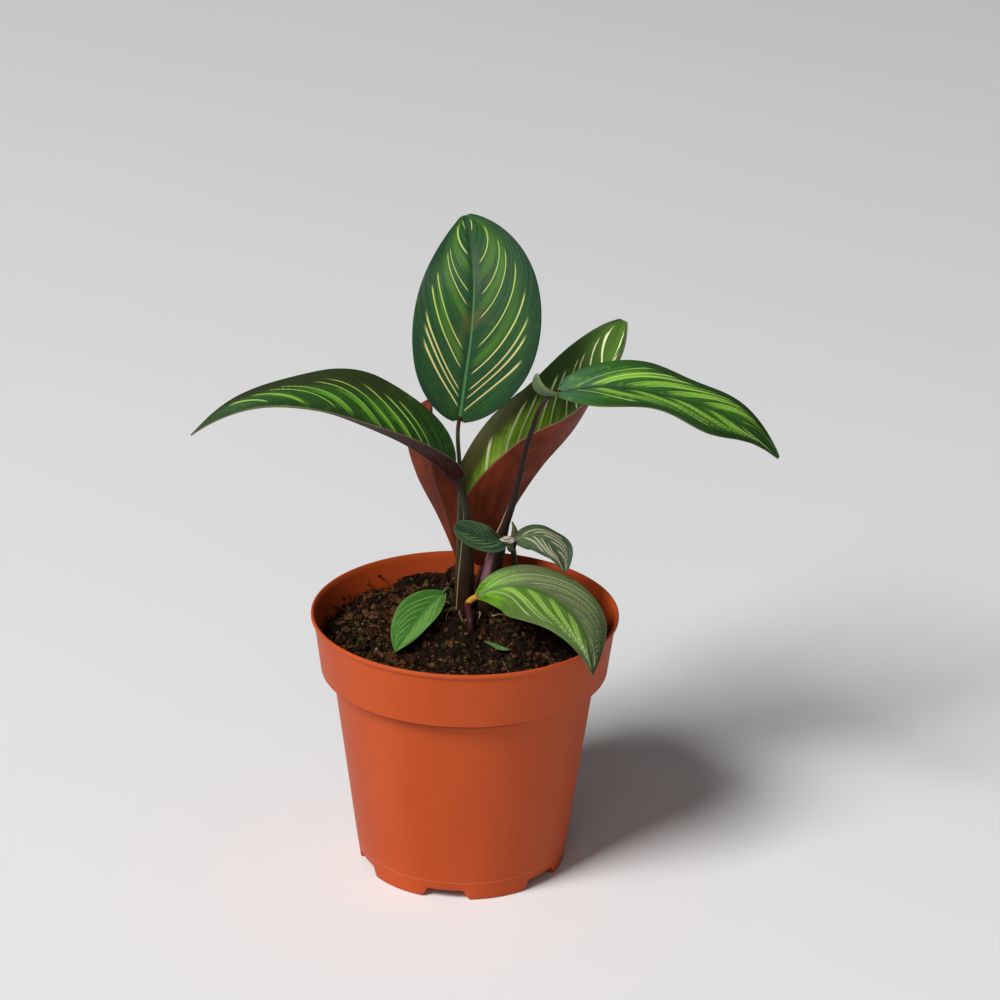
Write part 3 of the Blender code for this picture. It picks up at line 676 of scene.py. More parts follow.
def blend(values, shares):
    """Base, middle and tip values carried smoothly along a leaf; one value stays as it is."""
    values = np.array(values, float)
    if values.ndim == 0:
        return np.full(len(shares), float(values))
    table = values.reshape(len(values), -1)
    smooth = hermite(np.linspace(0, 1, len(table)), table, shares)
    return smooth if values.ndim > 1 else smooth[:, 0]


def outline_share(t, base, tip):
    widest = base / (base + tip)
    return t**base * (1 - t) ** tip / (widest**base * (1 - widest) ** tip)


def vein_start(t, reach, lean):
    """Where on the midrib the side vein through (t, reach) starts, as a share of its length."""
    starts = np.linspace(-0.7, 1.0, 341)
    run = lean + 0.24 * np.sin(pi * np.clip(starts / 0.75, 0, 1.0)) + 0.5 * np.clip(starts - 0.62, 0, 1)
    found = np.empty(len(t))
    for level in np.unique(reach):
        here = reach == level
        met = np.maximum.accumulate(starts + run * (0.45 * level + 0.55 * level**2.2))
        found[here] = np.interp(t[here], met, starts)
    return found


def blade_points(leaf, t, v):
    """Points of the upper face, and the two sets of numbers that each carries."""
    middle = smooth_curve(leaf.midrib, t)
    along = heading(leaf.midrib, t)
    facing = blend(leaf.face, t)
    facing = unit(facing - np.sum(facing * along, axis=1, keepdims=True) * along)
    sideways = np.cross(along, facing)
    right = v >= 0
    reach = np.abs(v)

    def per_side(pair):
        pair = pair if isinstance(pair, tuple) else (pair, pair)
        return np.where(right, blend(pair[1], t), blend(pair[0], t))

    width = leaf.half * np.where(right, 1, leaf.left_share)
    width = width * outline_share(t, per_side(leaf.base), per_side(leaf.tip))
    for half, (amount, phase) in zip((~right, right), leaf.frill):
        width = width * np.where(half, 1 + amount * np.sin(4 * pi * t + phase * pi) * np.sqrt(t), 1)
    fold = np.radians(per_side(leaf.fold))
    curl = np.radians(per_side(leaf.curl)) + 1e-4
    out = width / curl * (np.sin(fold + curl * reach) - np.sin(fold))
    up = width / curl * (np.cos(fold) - np.cos(fold + curl * reach))
    back = per_side(leaf.sweep) * reach**1.5
    back = back * np.sqrt(np.clip(t / 0.06, 0, 1)) * np.clip(1 - 2 * t, 0, 1) ** 1.5
    start = vein_start(t, reach, leaf.lean)
    inward = np.minimum(1, width / 0.004)
    up = up + leaf.pleat * np.cos(2 * pi * start / PLEAT_PITCH) * np.sin(pi * np.clip(reach, 0, 1)) * inward
    up = up - GROOVE_DEPTH * np.exp(-((reach * width / GROOVE_HALF) ** 2)) * inward
    slow = np.array([noise.noise((3.1 * a, 1.7 * b, leaf.half * 900)) for a, b in zip(t, v)])
    up = up + leaf.wave * slow * reach * inward * 2
    out = np.where(right, out, -out)
    points = middle + out[:, None] * sideways + up[:, None] * facing - back[:, None] * along
    length = np.sum(np.linalg.norm(np.diff(np.array(leaf.midrib), axis=0), axis=1))
    slant = length * (leaf.lean + 0.2) * (0.25 + 1.9 * reach**1.5)
    scale = 1000 * length * width / np.hypot(width, slant)
    vein = np.stack([start + np.where(right, RIGHT_HALF, 0), scale, reach], axis=1)
    span = np.stack([t, 1000 * width * v, v], axis=1)
    return points, vein, span


def carry(piece, **numbers):
    for name, values in numbers.items():
        attribute = piece.data.attributes.new(name, "FLOAT_VECTOR", "POINT")
        attribute.data.foreach_set("vector", np.ascontiguousarray(values, np.float32).ravel())


def thicken(piece, thickness, offset):
    """Thickness for a sheet, with its second material on the under face and its third round the edge."""
    shell = piece.modifiers.new("thickness", "SOLIDIFY")
    shell.thickness = thickness
    shell.offset = offset
    shell.material_offset = 1
    shell.material_offset_rim = 2


def blade(leaf, materials, nodes=None):
    """A flat grid, closer at the midrib's ends and margins, bent onto the leaf and thickened."""
    bm = bmesh.new()
    bmesh.ops.create_grid(bm, x_segments=leaf.along, y_segments=leaf.across, size=1)
    shares = np.array([vert.co.x for vert in bm.verts])
    v = np.round(np.array([-vert.co.y for vert in bm.verts]), 6)
    v = np.sin(v * pi / 2) * 0.35 + v * 0.65
    t = 0.5 + 0.5 * (0.7 * np.sin(shares * pi / 2) + 0.3 * shares)
    t = BLADE_START + (BLADE_END - BLADE_START) * t
    points, vein, span = blade_points(leaf, t, v)
    for vert, spot in zip(bm.verts, points):
        vert.co = spot
    piece = add_piece(leaf.name + "_blade", bm, materials, nodes or [leaf.name], crease=radians(80))
    carry(piece, vein=vein, span=span)
    thicken(piece, 0.0004, -1)


def nearest(signal, spots):
    found = abs(signal - spots[0])
    for spot in spots[1:]:
        found = found.at_most(abs(signal - spot))
    return found


def both_halves(left, right):
    return [*left, *(RIGHT_HALF + start for start in right)]


def upper_finish(name, ground, shade, line, band, lines, bands, rib=(0.09, 0.22, 0.05), rib_end=0.75,
                 line_width=0.34, band_width=1.3, band_share=0.8, margin=0.5, blotch=0.0,
                 blotch_colour=(0.10, 0.07, 0.02), halves=None, gloss=0.42, line_share=0.95, line_end=0.72,
                 shade_share=0.75, band_end=0.72, line_aged=None, margin_from=0.84, dark_edge=None,
                 dark_tip=None, young=None):
    """The upper face: ground colour in streaks along the veins, soft bands, fine lines, midrib.

    lines and bands are where they start along the midrib; widths are half widths in millimetres.
    halves gives the right half its own ground colour; dark_edge colours the margins, young the
    part close to the stalk, where the margin's colour then fades, and dark_tip says where along
    the leaf the tip's colour begins, and which it is. line_aged is the lines' colour by the base.
    """
    face = Finish(name, {"Specular IOR Level": 0.24, "Metallic": 0.0})
    place = face.place()
    start, scale, reach = face.carried("vein")
    share, offset, v = face.carried("span")
    flow = face.node("ShaderNodeCombineXYZ", {}, start * 60, reach * 2.6, share * 1.5)
    streak = face.grain(flow, 1.0, 3, 0.6)
    fine = face.grain(face.node("ShaderNodeCombineXYZ", {}, start * 260, reach * 3.0, 0.0), 1.0, 2, 0.6)
    mottle = face.grain(place, 240, 4, 0.6)
    cell = face.grain(place, 2200, 2, 0.5)
    tissue = ground
    if halves:
        tissue = face.mix(v.rise(-0.01, 0.01), ground, halves)
    if young:
        tissue = face.mix((share + reach * 0.12).rise(0.36, 0.10), tissue, young)
    tissue = face.mix((streak * 0.7 + mottle * 0.3).rise(0.42, 0.66) * shade_share, tissue, shade)
    tissue = face.mix(mottle.rise(0.5, 0.75) * 0.25, tissue, band)
    if bands:
        ragged = fine * 0.9 + streak * 0.8
        soft = nearest(start, bands) * scale + ragged * band_width * 0.9 - band_width * 0.75
        bright = soft.rise(band_width, band_width * 0.15) * reach.rise(0.03, 0.16)
        bright = bright * (reach + streak * 0.22).rise(band_end + 0.1, band_end - 0.2)
        tissue = face.mix(bright * (0.45 + fine * 0.9).at_most(1.0) * band_share, tissue, band)
    rim = (reach + mottle * 0.10 + streak * 0.10).rise(margin_from, margin_from + 0.17) * margin
    if young:
        rim = rim * share.rise(0.12, 0.42)
    tissue = face.mix(rim, tissue, dark_edge or shade)
    if dark_tip:
        begins, colour = dark_tip
        tissue = face.mix((share + streak * 0.2).rise(begins, begins + 0.16) * 0.9, tissue, colour)
    tissue = face.mix(reach.rise(0.22, 0.02) * 0.45, tissue, shade)
    if blotch:
        spread = (mottle * 0.5 + face.grain(place, 95, 2) * 0.7).rise(0.60, 0.72)
        near_rib = reach.rise(0.42, 0.1) * share.rise(0.18, 0.34) * share.rise(0.86, 0.6)
        tissue = face.mix(spread * near_rib * blotch, tissue, blotch_colour)
    varied = face.node(
        "ShaderNodeTexNoise", {"noise_dimensions": "1D"}, out="Fac", W=start * 21.0, Scale=1.0,
    )
    thin = line_width * (1.12 - reach * 0.45) * (0.75 + varied * 0.5)
    drawn = (nearest(start, lines) * scale).rise(thin, thin * 0.55)
    drawn = drawn * reach.rise(0.02 + varied * 0.14, 0.07 + varied * 0.20)
    line_stop = line_end + varied * 0.16 - share.rise(0.55, 1.0) * 0.26
    drawn = drawn * reach.rise(line_stop, line_stop - 0.07)
    drawn = drawn * (0.55 + streak * 0.9).at_most(1.0)
    drawn = drawn * share.rise(0.975, 0.945)
    if line_aged:
        line = face.mix((varied * 0.6 + share * 0.7).rise(0.40, 0.80), line_aged, line)
    tissue = face.mix(drawn * line_share, tissue, line)
    rib_half = (1.0 - share) * 0.62 + 0.10
    ribbed = abs(offset).rise(rib_half, rib_half * 0.55) * share.rise(rib_end, rib_end - 0.45)
    tissue = face.mix(ribbed * 0.85, tissue, rib)
    veins = fine * 0.6 + streak * 0.8 + cell * 0.12
    return face.show(
        Base_Color=tissue, Roughness=gloss + mottle * 0.16 + drawn * 0.08,
        Normal=face.bump(veins, 0.00022, 0.6),
    )


def under_finish(name, ground, shade, glow, rib, gloss=0.42):
    """The under face: an even colour, the side veins as fine ridges and the midrib standing out."""
    face = Finish(name, {"Specular IOR Level": 0.12, "Metallic": 0.0})
    place = face.place()
    start, _, reach = face.carried("vein")
    share, offset, _ = face.carried("span")
    fine = face.grain(face.node("ShaderNodeCombineXYZ", {}, start * 190, reach * 3.0, 0.0), 1.0, 2, 0.6)
    streak = face.grain(face.node("ShaderNodeCombineXYZ", {}, start * 45, reach * 2.2, share), 1.0, 3, 0.6)
    mottle = face.grain(place, 150, 4, 0.6)
    skin = face.mix((mottle * 0.6 + streak * 0.4).rise(0.38, 0.62) * 0.8, ground, shade)
    skin = face.mix(fine.rise(0.5, 0.7) * 0.3, skin, glow)
    skin = face.mix(reach.rise(0.96, 1.0) * 0.5, skin, glow)
    skin = face.mix(abs(offset).rise(0.7, 0.35) * 0.8, skin, rib)
    return face.show(
        Base_Color=skin, Roughness=gloss + mottle * 0.16,
        Normal=face.bump(fine * 0.6 + streak * 0.7, 0.0003, 0.7),
    )


wine_under = under_finish("wine_under_face", (0.270, 0.046, 0.018), (0.120, 0.022, 0.009),
                          (0.320, 0.075, 0.036), (0.120, 0.034, 0.014))
dark_under = under_finish("dark_wine_under_face", (0.046, 0.009, 0.007), (0.022, 0.006, 0.004),
                          (0.120, 0.045, 0.030), (0.045, 0.018, 0.010))
pale_under = under_finish("pale_under_face", (0.140, 0.210, 0.100), (0.090, 0.150, 0.065),
                          (0.260, 0.320, 0.190), (0.230, 0.260, 0.140))
edge_skin = Finish("leaf_edge", {"Specular IOR Level": 0.4, "Metallic": 0.0, "Roughness": 0.5})
worn = edge_skin.grain(edge_skin.place(), 300, 3)
leaf_edge = edge_skin.show(Base_Color=edge_skin.mix(worn, (0.160, 0.120, 0.060), (0.060, 0.050, 0.018)))


def from_crown(*points):
    """Points measured from the crown's level on the pot's axis, as points in the frame."""
    return [(x, y, z + CROWN_LEVEL) for x, y, z in points]


# The upright leaf: deep blue green, cream lines in pairs, a light midrib and brown blotches by it.

upright = Leaf(
    "upright_leaf",
    midrib=from_crown(
        (-0.003, 0.020, 0.068), (-0.001, 0.018, 0.085), (0.001, 0.019, 0.102),
        (0.0016, 0.025, 0.119), (-0.0022, 0.0440, 0.1365),
    ),
    face=[(-0.1, -1, 0.2), (0, -1, 0.35), (-0.1, -0.75, 0.7)],
    half=0.0238, left_share=0.86, base=(0.62, 0.66), tip=(0.76, 0.72),
    fold=((8, 5, 0), (8, 5, 0)), curl=((0, -5, -10), (0, -5, -10)), pleat=0.00014, wave=0.0006,
)
cream_lines = both_halves((0.055, 0.104, 0.138, 0.235, 0.318, 0.519, 0.585, 0.765, 0.89),
                          (0.035, 0.100, 0.140, 0.220, 0.337, 0.467, 0.568, 0.716, 0.88))
deep_green = upper_finish(
    "deep_green_upper_face", (0.018, 0.078, 0.016), (0.008, 0.034, 0.018), (0.460, 0.600, 0.130),
    (0.075, 0.200, 0.014), cream_lines, both_halves((0.28, 0.47, 0.70), (0.27, 0.52, 0.66)),
    rib=(0.075, 0.230, 0.070), rib_end=0.95, band_share=0.65, band_width=2.6, blotch=0.6, margin=0.5,
    blotch_colour=(0.085, 0.090, 0.020), line_width=0.27, line_aged=(0.780, 0.640, 0.280), band_end=0.8,
    line_end=0.74,
)
blade(upright, [deep_green, dark_under, leaf_edge])

# The left leaf arches out and down: dark green with lime bands, its near half folded up on edge.

left = Leaf(
    "left_leaf",
    midrib=from_crown(
        (-0.005, 0.008, 0.0515), (-0.020, 0.001, 0.0665), (-0.033, -0.002, 0.074),
        (-0.050, -0.004, 0.081), (-0.070, -0.006, 0.083), (-0.095, -0.008, 0.0722),
    ),
    face=[(0, -0.3, 0.95), (0, -0.5, 0.9), (-0.3, -0.5, 0.8)],
    half=0.0182, left_share=0.62, base=(0.50, 0.70), tip=(1.7, 1.30), sweep=(0.003, 0.002),
    frill=((0, 0), (0.14, 0.7)),
    fold=((58, 50, 30), (50, 30, 20)), curl=((0, 0, 0), (0, -30, -30)), lean=0.26, pleat=0.00016,
)
lime_starts = (0.09, 0.128, 0.18, 0.25, 0.31, 0.405, 0.47, 0.58, 0.69)
striped_green = upper_finish(
    "lime_striped_upper_face", (0.020, 0.076, 0.009), (0.014, 0.036, 0.007), (0.320, 0.560, 0.090),
    (0.150, 0.400, 0.024), both_halves(lime_starts, lime_starts),
    both_halves((0.26, 0.40, 0.57), (0.19, 0.255, 0.325, 0.42, 0.58)), band_width=1.5,
    rib=(0.030, 0.060, 0.015), line_width=0.24, margin=0.95, margin_from=0.60,
    dark_edge=(0.026, 0.034, 0.008), young=(0.026, 0.086, 0.014), line_end=0.66, band_end=0.60,
    dark_tip=(0.95, (0.020, 0.045, 0.010)),
)
blade(left, [striped_green, dark_under, leaf_edge])

# The rear right leaf stands half furled: bright green inside, wine red outside.

rear_right = Leaf(
    "rear_right_leaf",
    midrib=from_crown(
        (0.008, 0.027, 0.010), (0.016, 0.028, 0.032), (0.026, 0.030, 0.048),
        (0.037, 0.033, 0.061), (0.048, 0.036, 0.082), (0.0552, 0.039, 0.1002),
    ),
    face=[(-0.9, -0.1, 0.3), (-0.8, -0.5, 0.5), (-0.5, -0.8, 0.5)],
    half=0.021, left_share=1.22, base=(0.38, 0.55), tip=(0.62, 1.0),
    fold=((60, 30, 10), (65, 60, 10)), curl=((0, 0, 0), (20, 20, 0)), lean=0.30, pleat=0.00018,
    wave=0.0007,
)
glow_starts = (0.10, 0.20, 0.26, 0.37, 0.44, 0.55, 0.62, 0.72, 0.80)
# The bright lime ground is partly the leaf's own colour and partly painted backlight, light shining through
# the thin blade; the wide pale lines by the fold are partly a painted sheen.
lime_and_backlit_green = upper_finish(
    "glowing_green_upper_face", (0.290, 0.540, 0.013), (0.100, 0.230, 0.006), (0.880, 0.930, 0.520),
    (0.560, 0.780, 0.120), both_halves(glow_starts, glow_starts),
    both_halves((0.15, 0.31, 0.50, 0.66), (0.15, 0.31, 0.50, 0.66)), margin=0.95,
    band_width=1.9, rib=(0.180, 0.300, 0.040), line_width=0.44, shade_share=0.7, margin_from=0.73,
    dark_edge=(0.052, 0.044, 0.006), dark_tip=(0.60, (0.034, 0.090, 0.012)), line_end=0.74, band_end=0.80,
)
blade(rear_right, [lime_and_backlit_green, wine_under, leaf_edge])

# The right leaf arches out over the rim: mid green and lime, with a small lobe curled up at its base.

right = Leaf(
    "right_leaf",
    midrib=from_crown(
        (0.031, 0.008, 0.084), (0.045, 0.004, 0.088), (0.069, -0.002, 0.087),
        (0.090, -0.006, 0.081), (0.107, -0.009, 0.067),
    ),
    face=[(0, -0.25, 1), (0.1, -0.25, 1), (0.4, -0.4, 0.8)],
    half=0.0158, base=(0.45, 0.55), tip=(0.7, 0.98), sweep=(0.001, 0.0),
    fold=((12, 7, 0), (15, 15, 0)), curl=((-10, -15, -20), (-10, -20, -20)), lean=0.42, pleat=0.00022,
    frill=((0.11, -0.7), (0.36, -0.22)),
)
brushed_starts = (0.05, 0.12, 0.17, 0.26, 0.33, 0.42, 0.49, 0.58, 0.66, 0.76)
brushed_green = upper_finish(
    "brushed_green_upper_face", (0.036, 0.140, 0.014), (0.014, 0.052, 0.010), (0.460, 0.680, 0.160),
    (0.320, 0.620, 0.060), both_halves(brushed_starts, brushed_starts),
    both_halves((0.145, 0.295, 0.455, 0.62), (0.145, 0.295, 0.455, 0.62)), band_width=2.1,
    rib=(0.026, 0.055, 0.022), margin=0.85, line_width=0.22, margin_from=0.76,
    dark_edge=(0.018, 0.052, 0.012), young=(0.060, 0.150, 0.070),
    dark_tip=(0.86, (0.016, 0.044, 0.009)), line_share=0.7,
)
blade(right, [brushed_green, dark_under, leaf_edge])
lobe = Leaf(
    "right_leaf_lobe",
    midrib=from_crown((0.0335, 0.0070, 0.0846), (0.0278, 0.0055, 0.0860), (0.0238, 0.0050, 0.0922)),
    face=[(-0.2, 0.8, 0.8), (-0.2, 0.9, 0.5), (-0.2, 0.9, 0.4)],
    half=0.0042, left_share=0.10, base=(0.6, 0.6), tip=(0.6, 0.6), fold=((0, 0, 0), (0, 5, 0)),
    curl=((0, 0, 0), (20, 20, 10)), along=30, across=16, pleat=0.00004, wave=0.0,
)
blade(lobe, [pale_under, pale_under, leaf_edge], nodes=["right_leaf"])

# The rear left leaf is turned away, so that its wine-red outside shows.

rear_left = Leaf(
    "rear_left_leaf",
    midrib=from_crown(
        (-0.002, 0.027, 0.009), (-0.006, 0.028, 0.028), (-0.011, 0.030, 0.044),
        (-0.0135, 0.032, 0.057), (-0.0122, 0.035, 0.0712),
    ),
    face=[(0.3, 0.9, 0.2), (0.3, 0.9, 0.2), (0.2, 0.9, 0.4)],
    half=0.0112, left_share=0.55, base=(0.6, 1.4), tip=(1.2, 0.75),
    fold=((20, 20, 10), (20, 20, 10)), curl=((20, 20, 0), (20, 20, 0)), along=80, across=40,
)
blade(rear_left, [lime_and_backlit_green, wine_under, leaf_edge])

# Low and small leaves: the low right one arches over the lip, glossy and finely lined; the low left
# one is plain fresh green; the side shoot's two are deep green and grey green.

out, rim = LIP_RADIUS, POT_HEIGHT + 0.0035
low_right = Leaf(
    "low_right_leaf",
    midrib=[
        (CROWN_X, CROWN_Y - 0.011, CROWN_LEVEL + 0.0072),
        (0.17 * out, 0.04 * out, rim + 0.0040), (0.32 * out, -0.03 * out, rim + 0.0075),
        (0.48 * out, -0.15 * out, rim + 0.0085), (0.63 * out, -0.33 * out, rim + 0.0075),
        (0.75 * out, -0.53 * out, rim + 0.0035), (0.81 * out, -0.73 * out, rim - 0.0100),
    ],
    face=[(0, -0.8, 0.8), (0.1, -0.25, 1), (0.7, -0.5, 0.5)],
    half=0.017, left_share=0.92, base=(0.95, 1.15), tip=(0.95, 1.25),
    fold=((5, 0, 0), (5, 0, 0)), curl=((-10, -20, -20), (-10, -20, -20)), lean=0.64, pleat=0.00026,
)
rim_starts = (0.05, 0.13, 0.18, 0.28, 0.34, 0.44, 0.50, 0.60, 0.67, 0.78)
# Painted light: the grey-green ground is a painted reflection of the white sky on the glossy blade, and the
# bright green right half (halves) is painted backlight shining through it.
sheen_grey_and_backlit = upper_finish(
    "grey_and_bright_upper_face", (0.150, 0.190, 0.080), (0.060, 0.090, 0.036), (0.480, 0.540, 0.280),
    (0.320, 0.560, 0.060), both_halves(rim_starts, rim_starts),
    both_halves((), (0.155, 0.31, 0.47, 0.635)), halves=(0.096, 0.235, 0.018), band_width=1.4,
    rib=(0.120, 0.170, 0.080), margin=0.6, line_width=0.24, gloss=0.30, line_share=0.65,
    young=(0.190, 0.440, 0.020), margin_from=0.72, dark_edge=(0.110, 0.160, 0.050),
    dark_tip=(0.92, (0.050, 0.085, 0.030)), line_end=0.78,
)
blade(low_right, [sheen_grey_and_backlit, pale_under, leaf_edge])
low_left = Leaf(
    "low_left_leaf",
    midrib=from_crown(
        (-0.007, 0.011, 0.0075), (-0.014, 0.000, 0.0050), (-0.020, -0.010, 0.0005),
        (-0.024, -0.018, -0.0030),
    ),
    face=[(0, -0.3, 1), (-0.1, -0.4, 1), (-0.3, -0.5, 0.8)],
    half=0.0105, left_share=0.5, base=(0.8, 0.65), tip=(0.95, 1.0), lean=0.5,
    fold=((5, 0, 0), (5, 0, 0)), curl=((-10, -20, -20), (-10, -20, -20)), along=80, across=44, pleat=0.00022,
)
fresh_starts = (0.08, 0.20, 0.32, 0.45, 0.58, 0.72)
fresh_green = upper_finish(
    "fresh_green_upper_face", (0.120, 0.290, 0.050), (0.046, 0.150, 0.020), (0.280, 0.460, 0.150),
    (0.190, 0.390, 0.090), both_halves(fresh_starts, fresh_starts), both_halves(fresh_starts, fresh_starts),
    halves=(0.036, 0.140, 0.014), band_width=0.6, band_share=0.4, rib=(0.080, 0.200, 0.050), line_width=0.18,
    line_share=0.4, shade_share=0.95, dark_edge=(0.200, 0.360, 0.110), margin_from=0.90, margin=0.3,
    gloss=0.36, line_end=0.85,
)
blade(low_left, [fresh_green, pale_under, leaf_edge])

NODE = (0.0155, 0.0085, 0.0280)
NODE_REACH = 0.0013
small_left = Leaf(
    "small_left_leaf",
    midrib=from_crown(
        (NODE[0] - NODE_REACH, NODE[1], NODE[2]), (0.010, 0.006, 0.029), (0.004, 0.004, 0.032),
        (-0.004, 0.003, 0.036),
    ),
    face=[(0, -0.4, 1), (0, -0.9, 1), (-0.1, -0.8, 1)],
    half=0.0048, base=(0.42, 0.42), tip=(0.42, 0.42), lean=0.5,
    fold=((-5, -5, -5), (10, 10, 10)), curl=((-30, -30, 0), (0, 0, 0)), along=60, across=28,
    pleat=0.00008, wave=0.0002,
)
shoot_starts = (0.10, 0.24, 0.38, 0.52, 0.68)
shoot_green = upper_finish(
    "shoot_green_upper_face", (0.026, 0.066, 0.026), (0.012, 0.034, 0.016), (0.400, 0.420, 0.220),
    (0.110, 0.190, 0.080), both_halves(shoot_starts, shoot_starts), both_halves(shoot_starts, ()),
    band_width=0.5, line_width=0.12, line_share=0.3, rib=(0.060, 0.110, 0.050), margin=0.8,
    dark_edge=(0.070, 0.130, 0.055), margin_from=0.80,
)
blade(small_left, [shoot_green, pale_under, leaf_edge])
small_right = Leaf(
    "small_right_leaf",
    midrib=from_crown(
        (NODE[0] + NODE_REACH, NODE[1], NODE[2]), (0.022, 0.008, 0.0310), (0.027, 0.005, 0.0315),
        (0.0315, 0.002, 0.0275), (0.0345, -0.002, 0.021),
    ),
    face=[(0, -0.4, 1), (0, -0.5, 1), (0.5, -0.5, 0.6)],
    half=0.0066, base=(0.5, 0.45), tip=(0.5, 0.9), lean=0.7, frill=((0.16, -0.3), (0.06, 0.5)),
    fold=((0, 0, 0), (-5, -5, 0)), curl=((-20, -20, 0), (-20, -20, 0)), along=60, across=32,
    pleat=0.00014, wave=0.0006,
)
grey_green = upper_finish(
    "grey_green_upper_face", (0.070, 0.115, 0.050), (0.014, 0.040, 0.014), (0.600, 0.500, 0.340),
    (0.260, 0.290, 0.170), both_halves(shoot_starts, shoot_starts), both_halves(shoot_starts, shoot_starts),
    band_width=0.8, line_width=0.20, line_share=0.8, rib=(0.130, 0.150, 0.090), margin=0.4,
)
blade(small_right, [grey_green, pale_under, leaf_edge])


# ---------------------------------------------------------------- stalks and sheaths
# Each leaf rises from the crown on a round stalk whose lower part is a rolled sheath. A thin dry
# margin shows as a cream line down the sheath's outer edge; a paler joint carries the blade.

def stem_finish(name, low, high, tint, margin=(0.560, 0.450, 0.260), margin_width=0.03, margin_from=0.0,
                margin_to=0.7, joint=None, joint_from=0.9, band=None, sheen_to=0.35, gloss=0.36):
    """Fine lengthwise streaks, a change of colour from foot to top, margin line, joint, and band, a painted
    highlight: a glossy pink sheen painted as colour down one side.
    """
    skin = Finish(name, {"Specular IOR Level": 0.18, "Metallic": 0.0})
    share, turn, radius = skin.carried("stem")
    place = skin.place()
    angle = turn * (2 * pi)
    round_it = skin.node(
        "ShaderNodeCombineXYZ", {}, angle.math("COSINE", angle), angle.math("SINE", angle), share * 1.2,
    )
    streak = skin.grain(round_it, 9.0, 3, 0.6)
    mottle = skin.grain(place, 420, 3, 0.6)
    rind = skin.mix((share + mottle * 0.25 - 0.12).rise(0.15, 0.75), low, high)
    rind = skin.mix(streak.rise(0.48, 0.68) * 0.55, rind, tint)
    # band is a painted highlight: the pink sheen of the glossy sheath, painted as colour in a strip down one
    # side.
    if band:
        painted_sheen_mask = turn.rise(0.02, 0.04) * turn.rise(0.17, 0.11) * share.rise(sheen_to, sheen_to - 0.12)
        painted_sheen_mask = painted_sheen_mask * share.rise(0.09, 0.15)
        rind = skin.mix(painted_sheen_mask * (0.5 + streak * 0.6), rind, band)
    line = turn.rise(margin_width, margin_width * 0.6) * share.rise(margin_from - 0.02, margin_from + 0.02)
    line = line * share.rise(margin_to + 0.05, margin_to - 0.05)
    rind = skin.mix(line * (0.4 + mottle * 0.8), rind, margin)
    if joint:
        jointed = (share + mottle * 0.04).rise(joint_from - 0.05, joint_from + 0.04)
        rind = skin.mix(jointed, rind, joint)
    return skin.show(
        Base_Color=rind, Roughness=gloss + mottle * 0.2,
        Normal=skin.bump(streak * 0.8 + mottle * 0.3, 0.0002, 0.6),
    )


def grow(bm, points, radii, along, around, **shape):
    """A tube whose points carry the numbers that a stem's finish is drawn from."""
    layer = bm.verts.layers.float_vector.get("stem") or bm.verts.layers.float_vector.new("stem")
    verts, carried = tube(bm, points, radii, along, around, **shape)
    for vert, numbers in zip(verts, carried):
        vert[layer] = numbers


def stalk(name, route, leaf, radii, finish, wrap=0.0, edge=0.0, sink=0.004,
          reach_in=0.0022):
    """Foot sunk in the mix, up the route, and on under the start of the blade."""
    x, y = route[0]
    foot = mix_height(x, y)
    base, second = Vector(leaf.midrib[0]), Vector(leaf.midrib[1])
    ahead = (second - base).normalized()
    points = [(x, y, foot - sink), (x, y, foot + 0.002), *from_crown(*route[1:])]
    points += [tuple(base - ahead * 0.002), tuple(base + ahead * reach_in)]
    bm = bmesh.new()
    grow(bm, points, radii, 90, 28, wrap=wrap, edge=edge)
    close_up(bm)
    add_piece(name, bm, [finish], [leaf.name + "_stalk"], crease=radians(55))


olive_stem = stem_finish("olive_stem", (0.050, 0.026, 0.018), (0.055, 0.060, 0.026), (0.085, 0.070, 0.040),
                         margin_to=0.0, joint=(0.050, 0.018, 0.014), joint_from=0.97)
sheath_stem = stem_finish("olive_sheath", (0.020, 0.008, 0.005), (0.026, 0.020, 0.008),
                          (0.045, 0.032, 0.013), margin=(0.340, 0.250, 0.120), margin_width=0.045,
                          margin_to=0.74, joint=(0.045, 0.013, 0.012), joint_from=0.93)
# The pink band on this sheath is a painted highlight.
dark_stem = stem_finish("dark_sheath", (0.030, 0.015, 0.010), (0.013, 0.007, 0.005), (0.045, 0.026, 0.014),
                        margin=(0.560, 0.380, 0.220), margin_width=0.04, margin_from=0.24, margin_to=0.46,
                        band=(0.330, 0.140, 0.180), sheen_to=0.34, joint=(0.030, 0.010, 0.012))
wine_stem = stem_finish("wine_sheath", (0.045, 0.016, 0.013), (0.110, 0.026, 0.018), (0.070, 0.028, 0.020),
                        margin_to=0.0)
yellow_jointed = stem_finish("yellow_jointed_stem", (0.026, 0.008, 0.009), (0.060, 0.012, 0.014),
                             (0.090, 0.030, 0.022), margin_to=0.0, joint=(0.520, 0.270, 0.030),
                             joint_from=0.72)
green_stem = stem_finish("green_stem", (0.026, 0.018, 0.010), (0.090, 0.100, 0.045), (0.120, 0.120, 0.060),
                         margin_to=0.0)

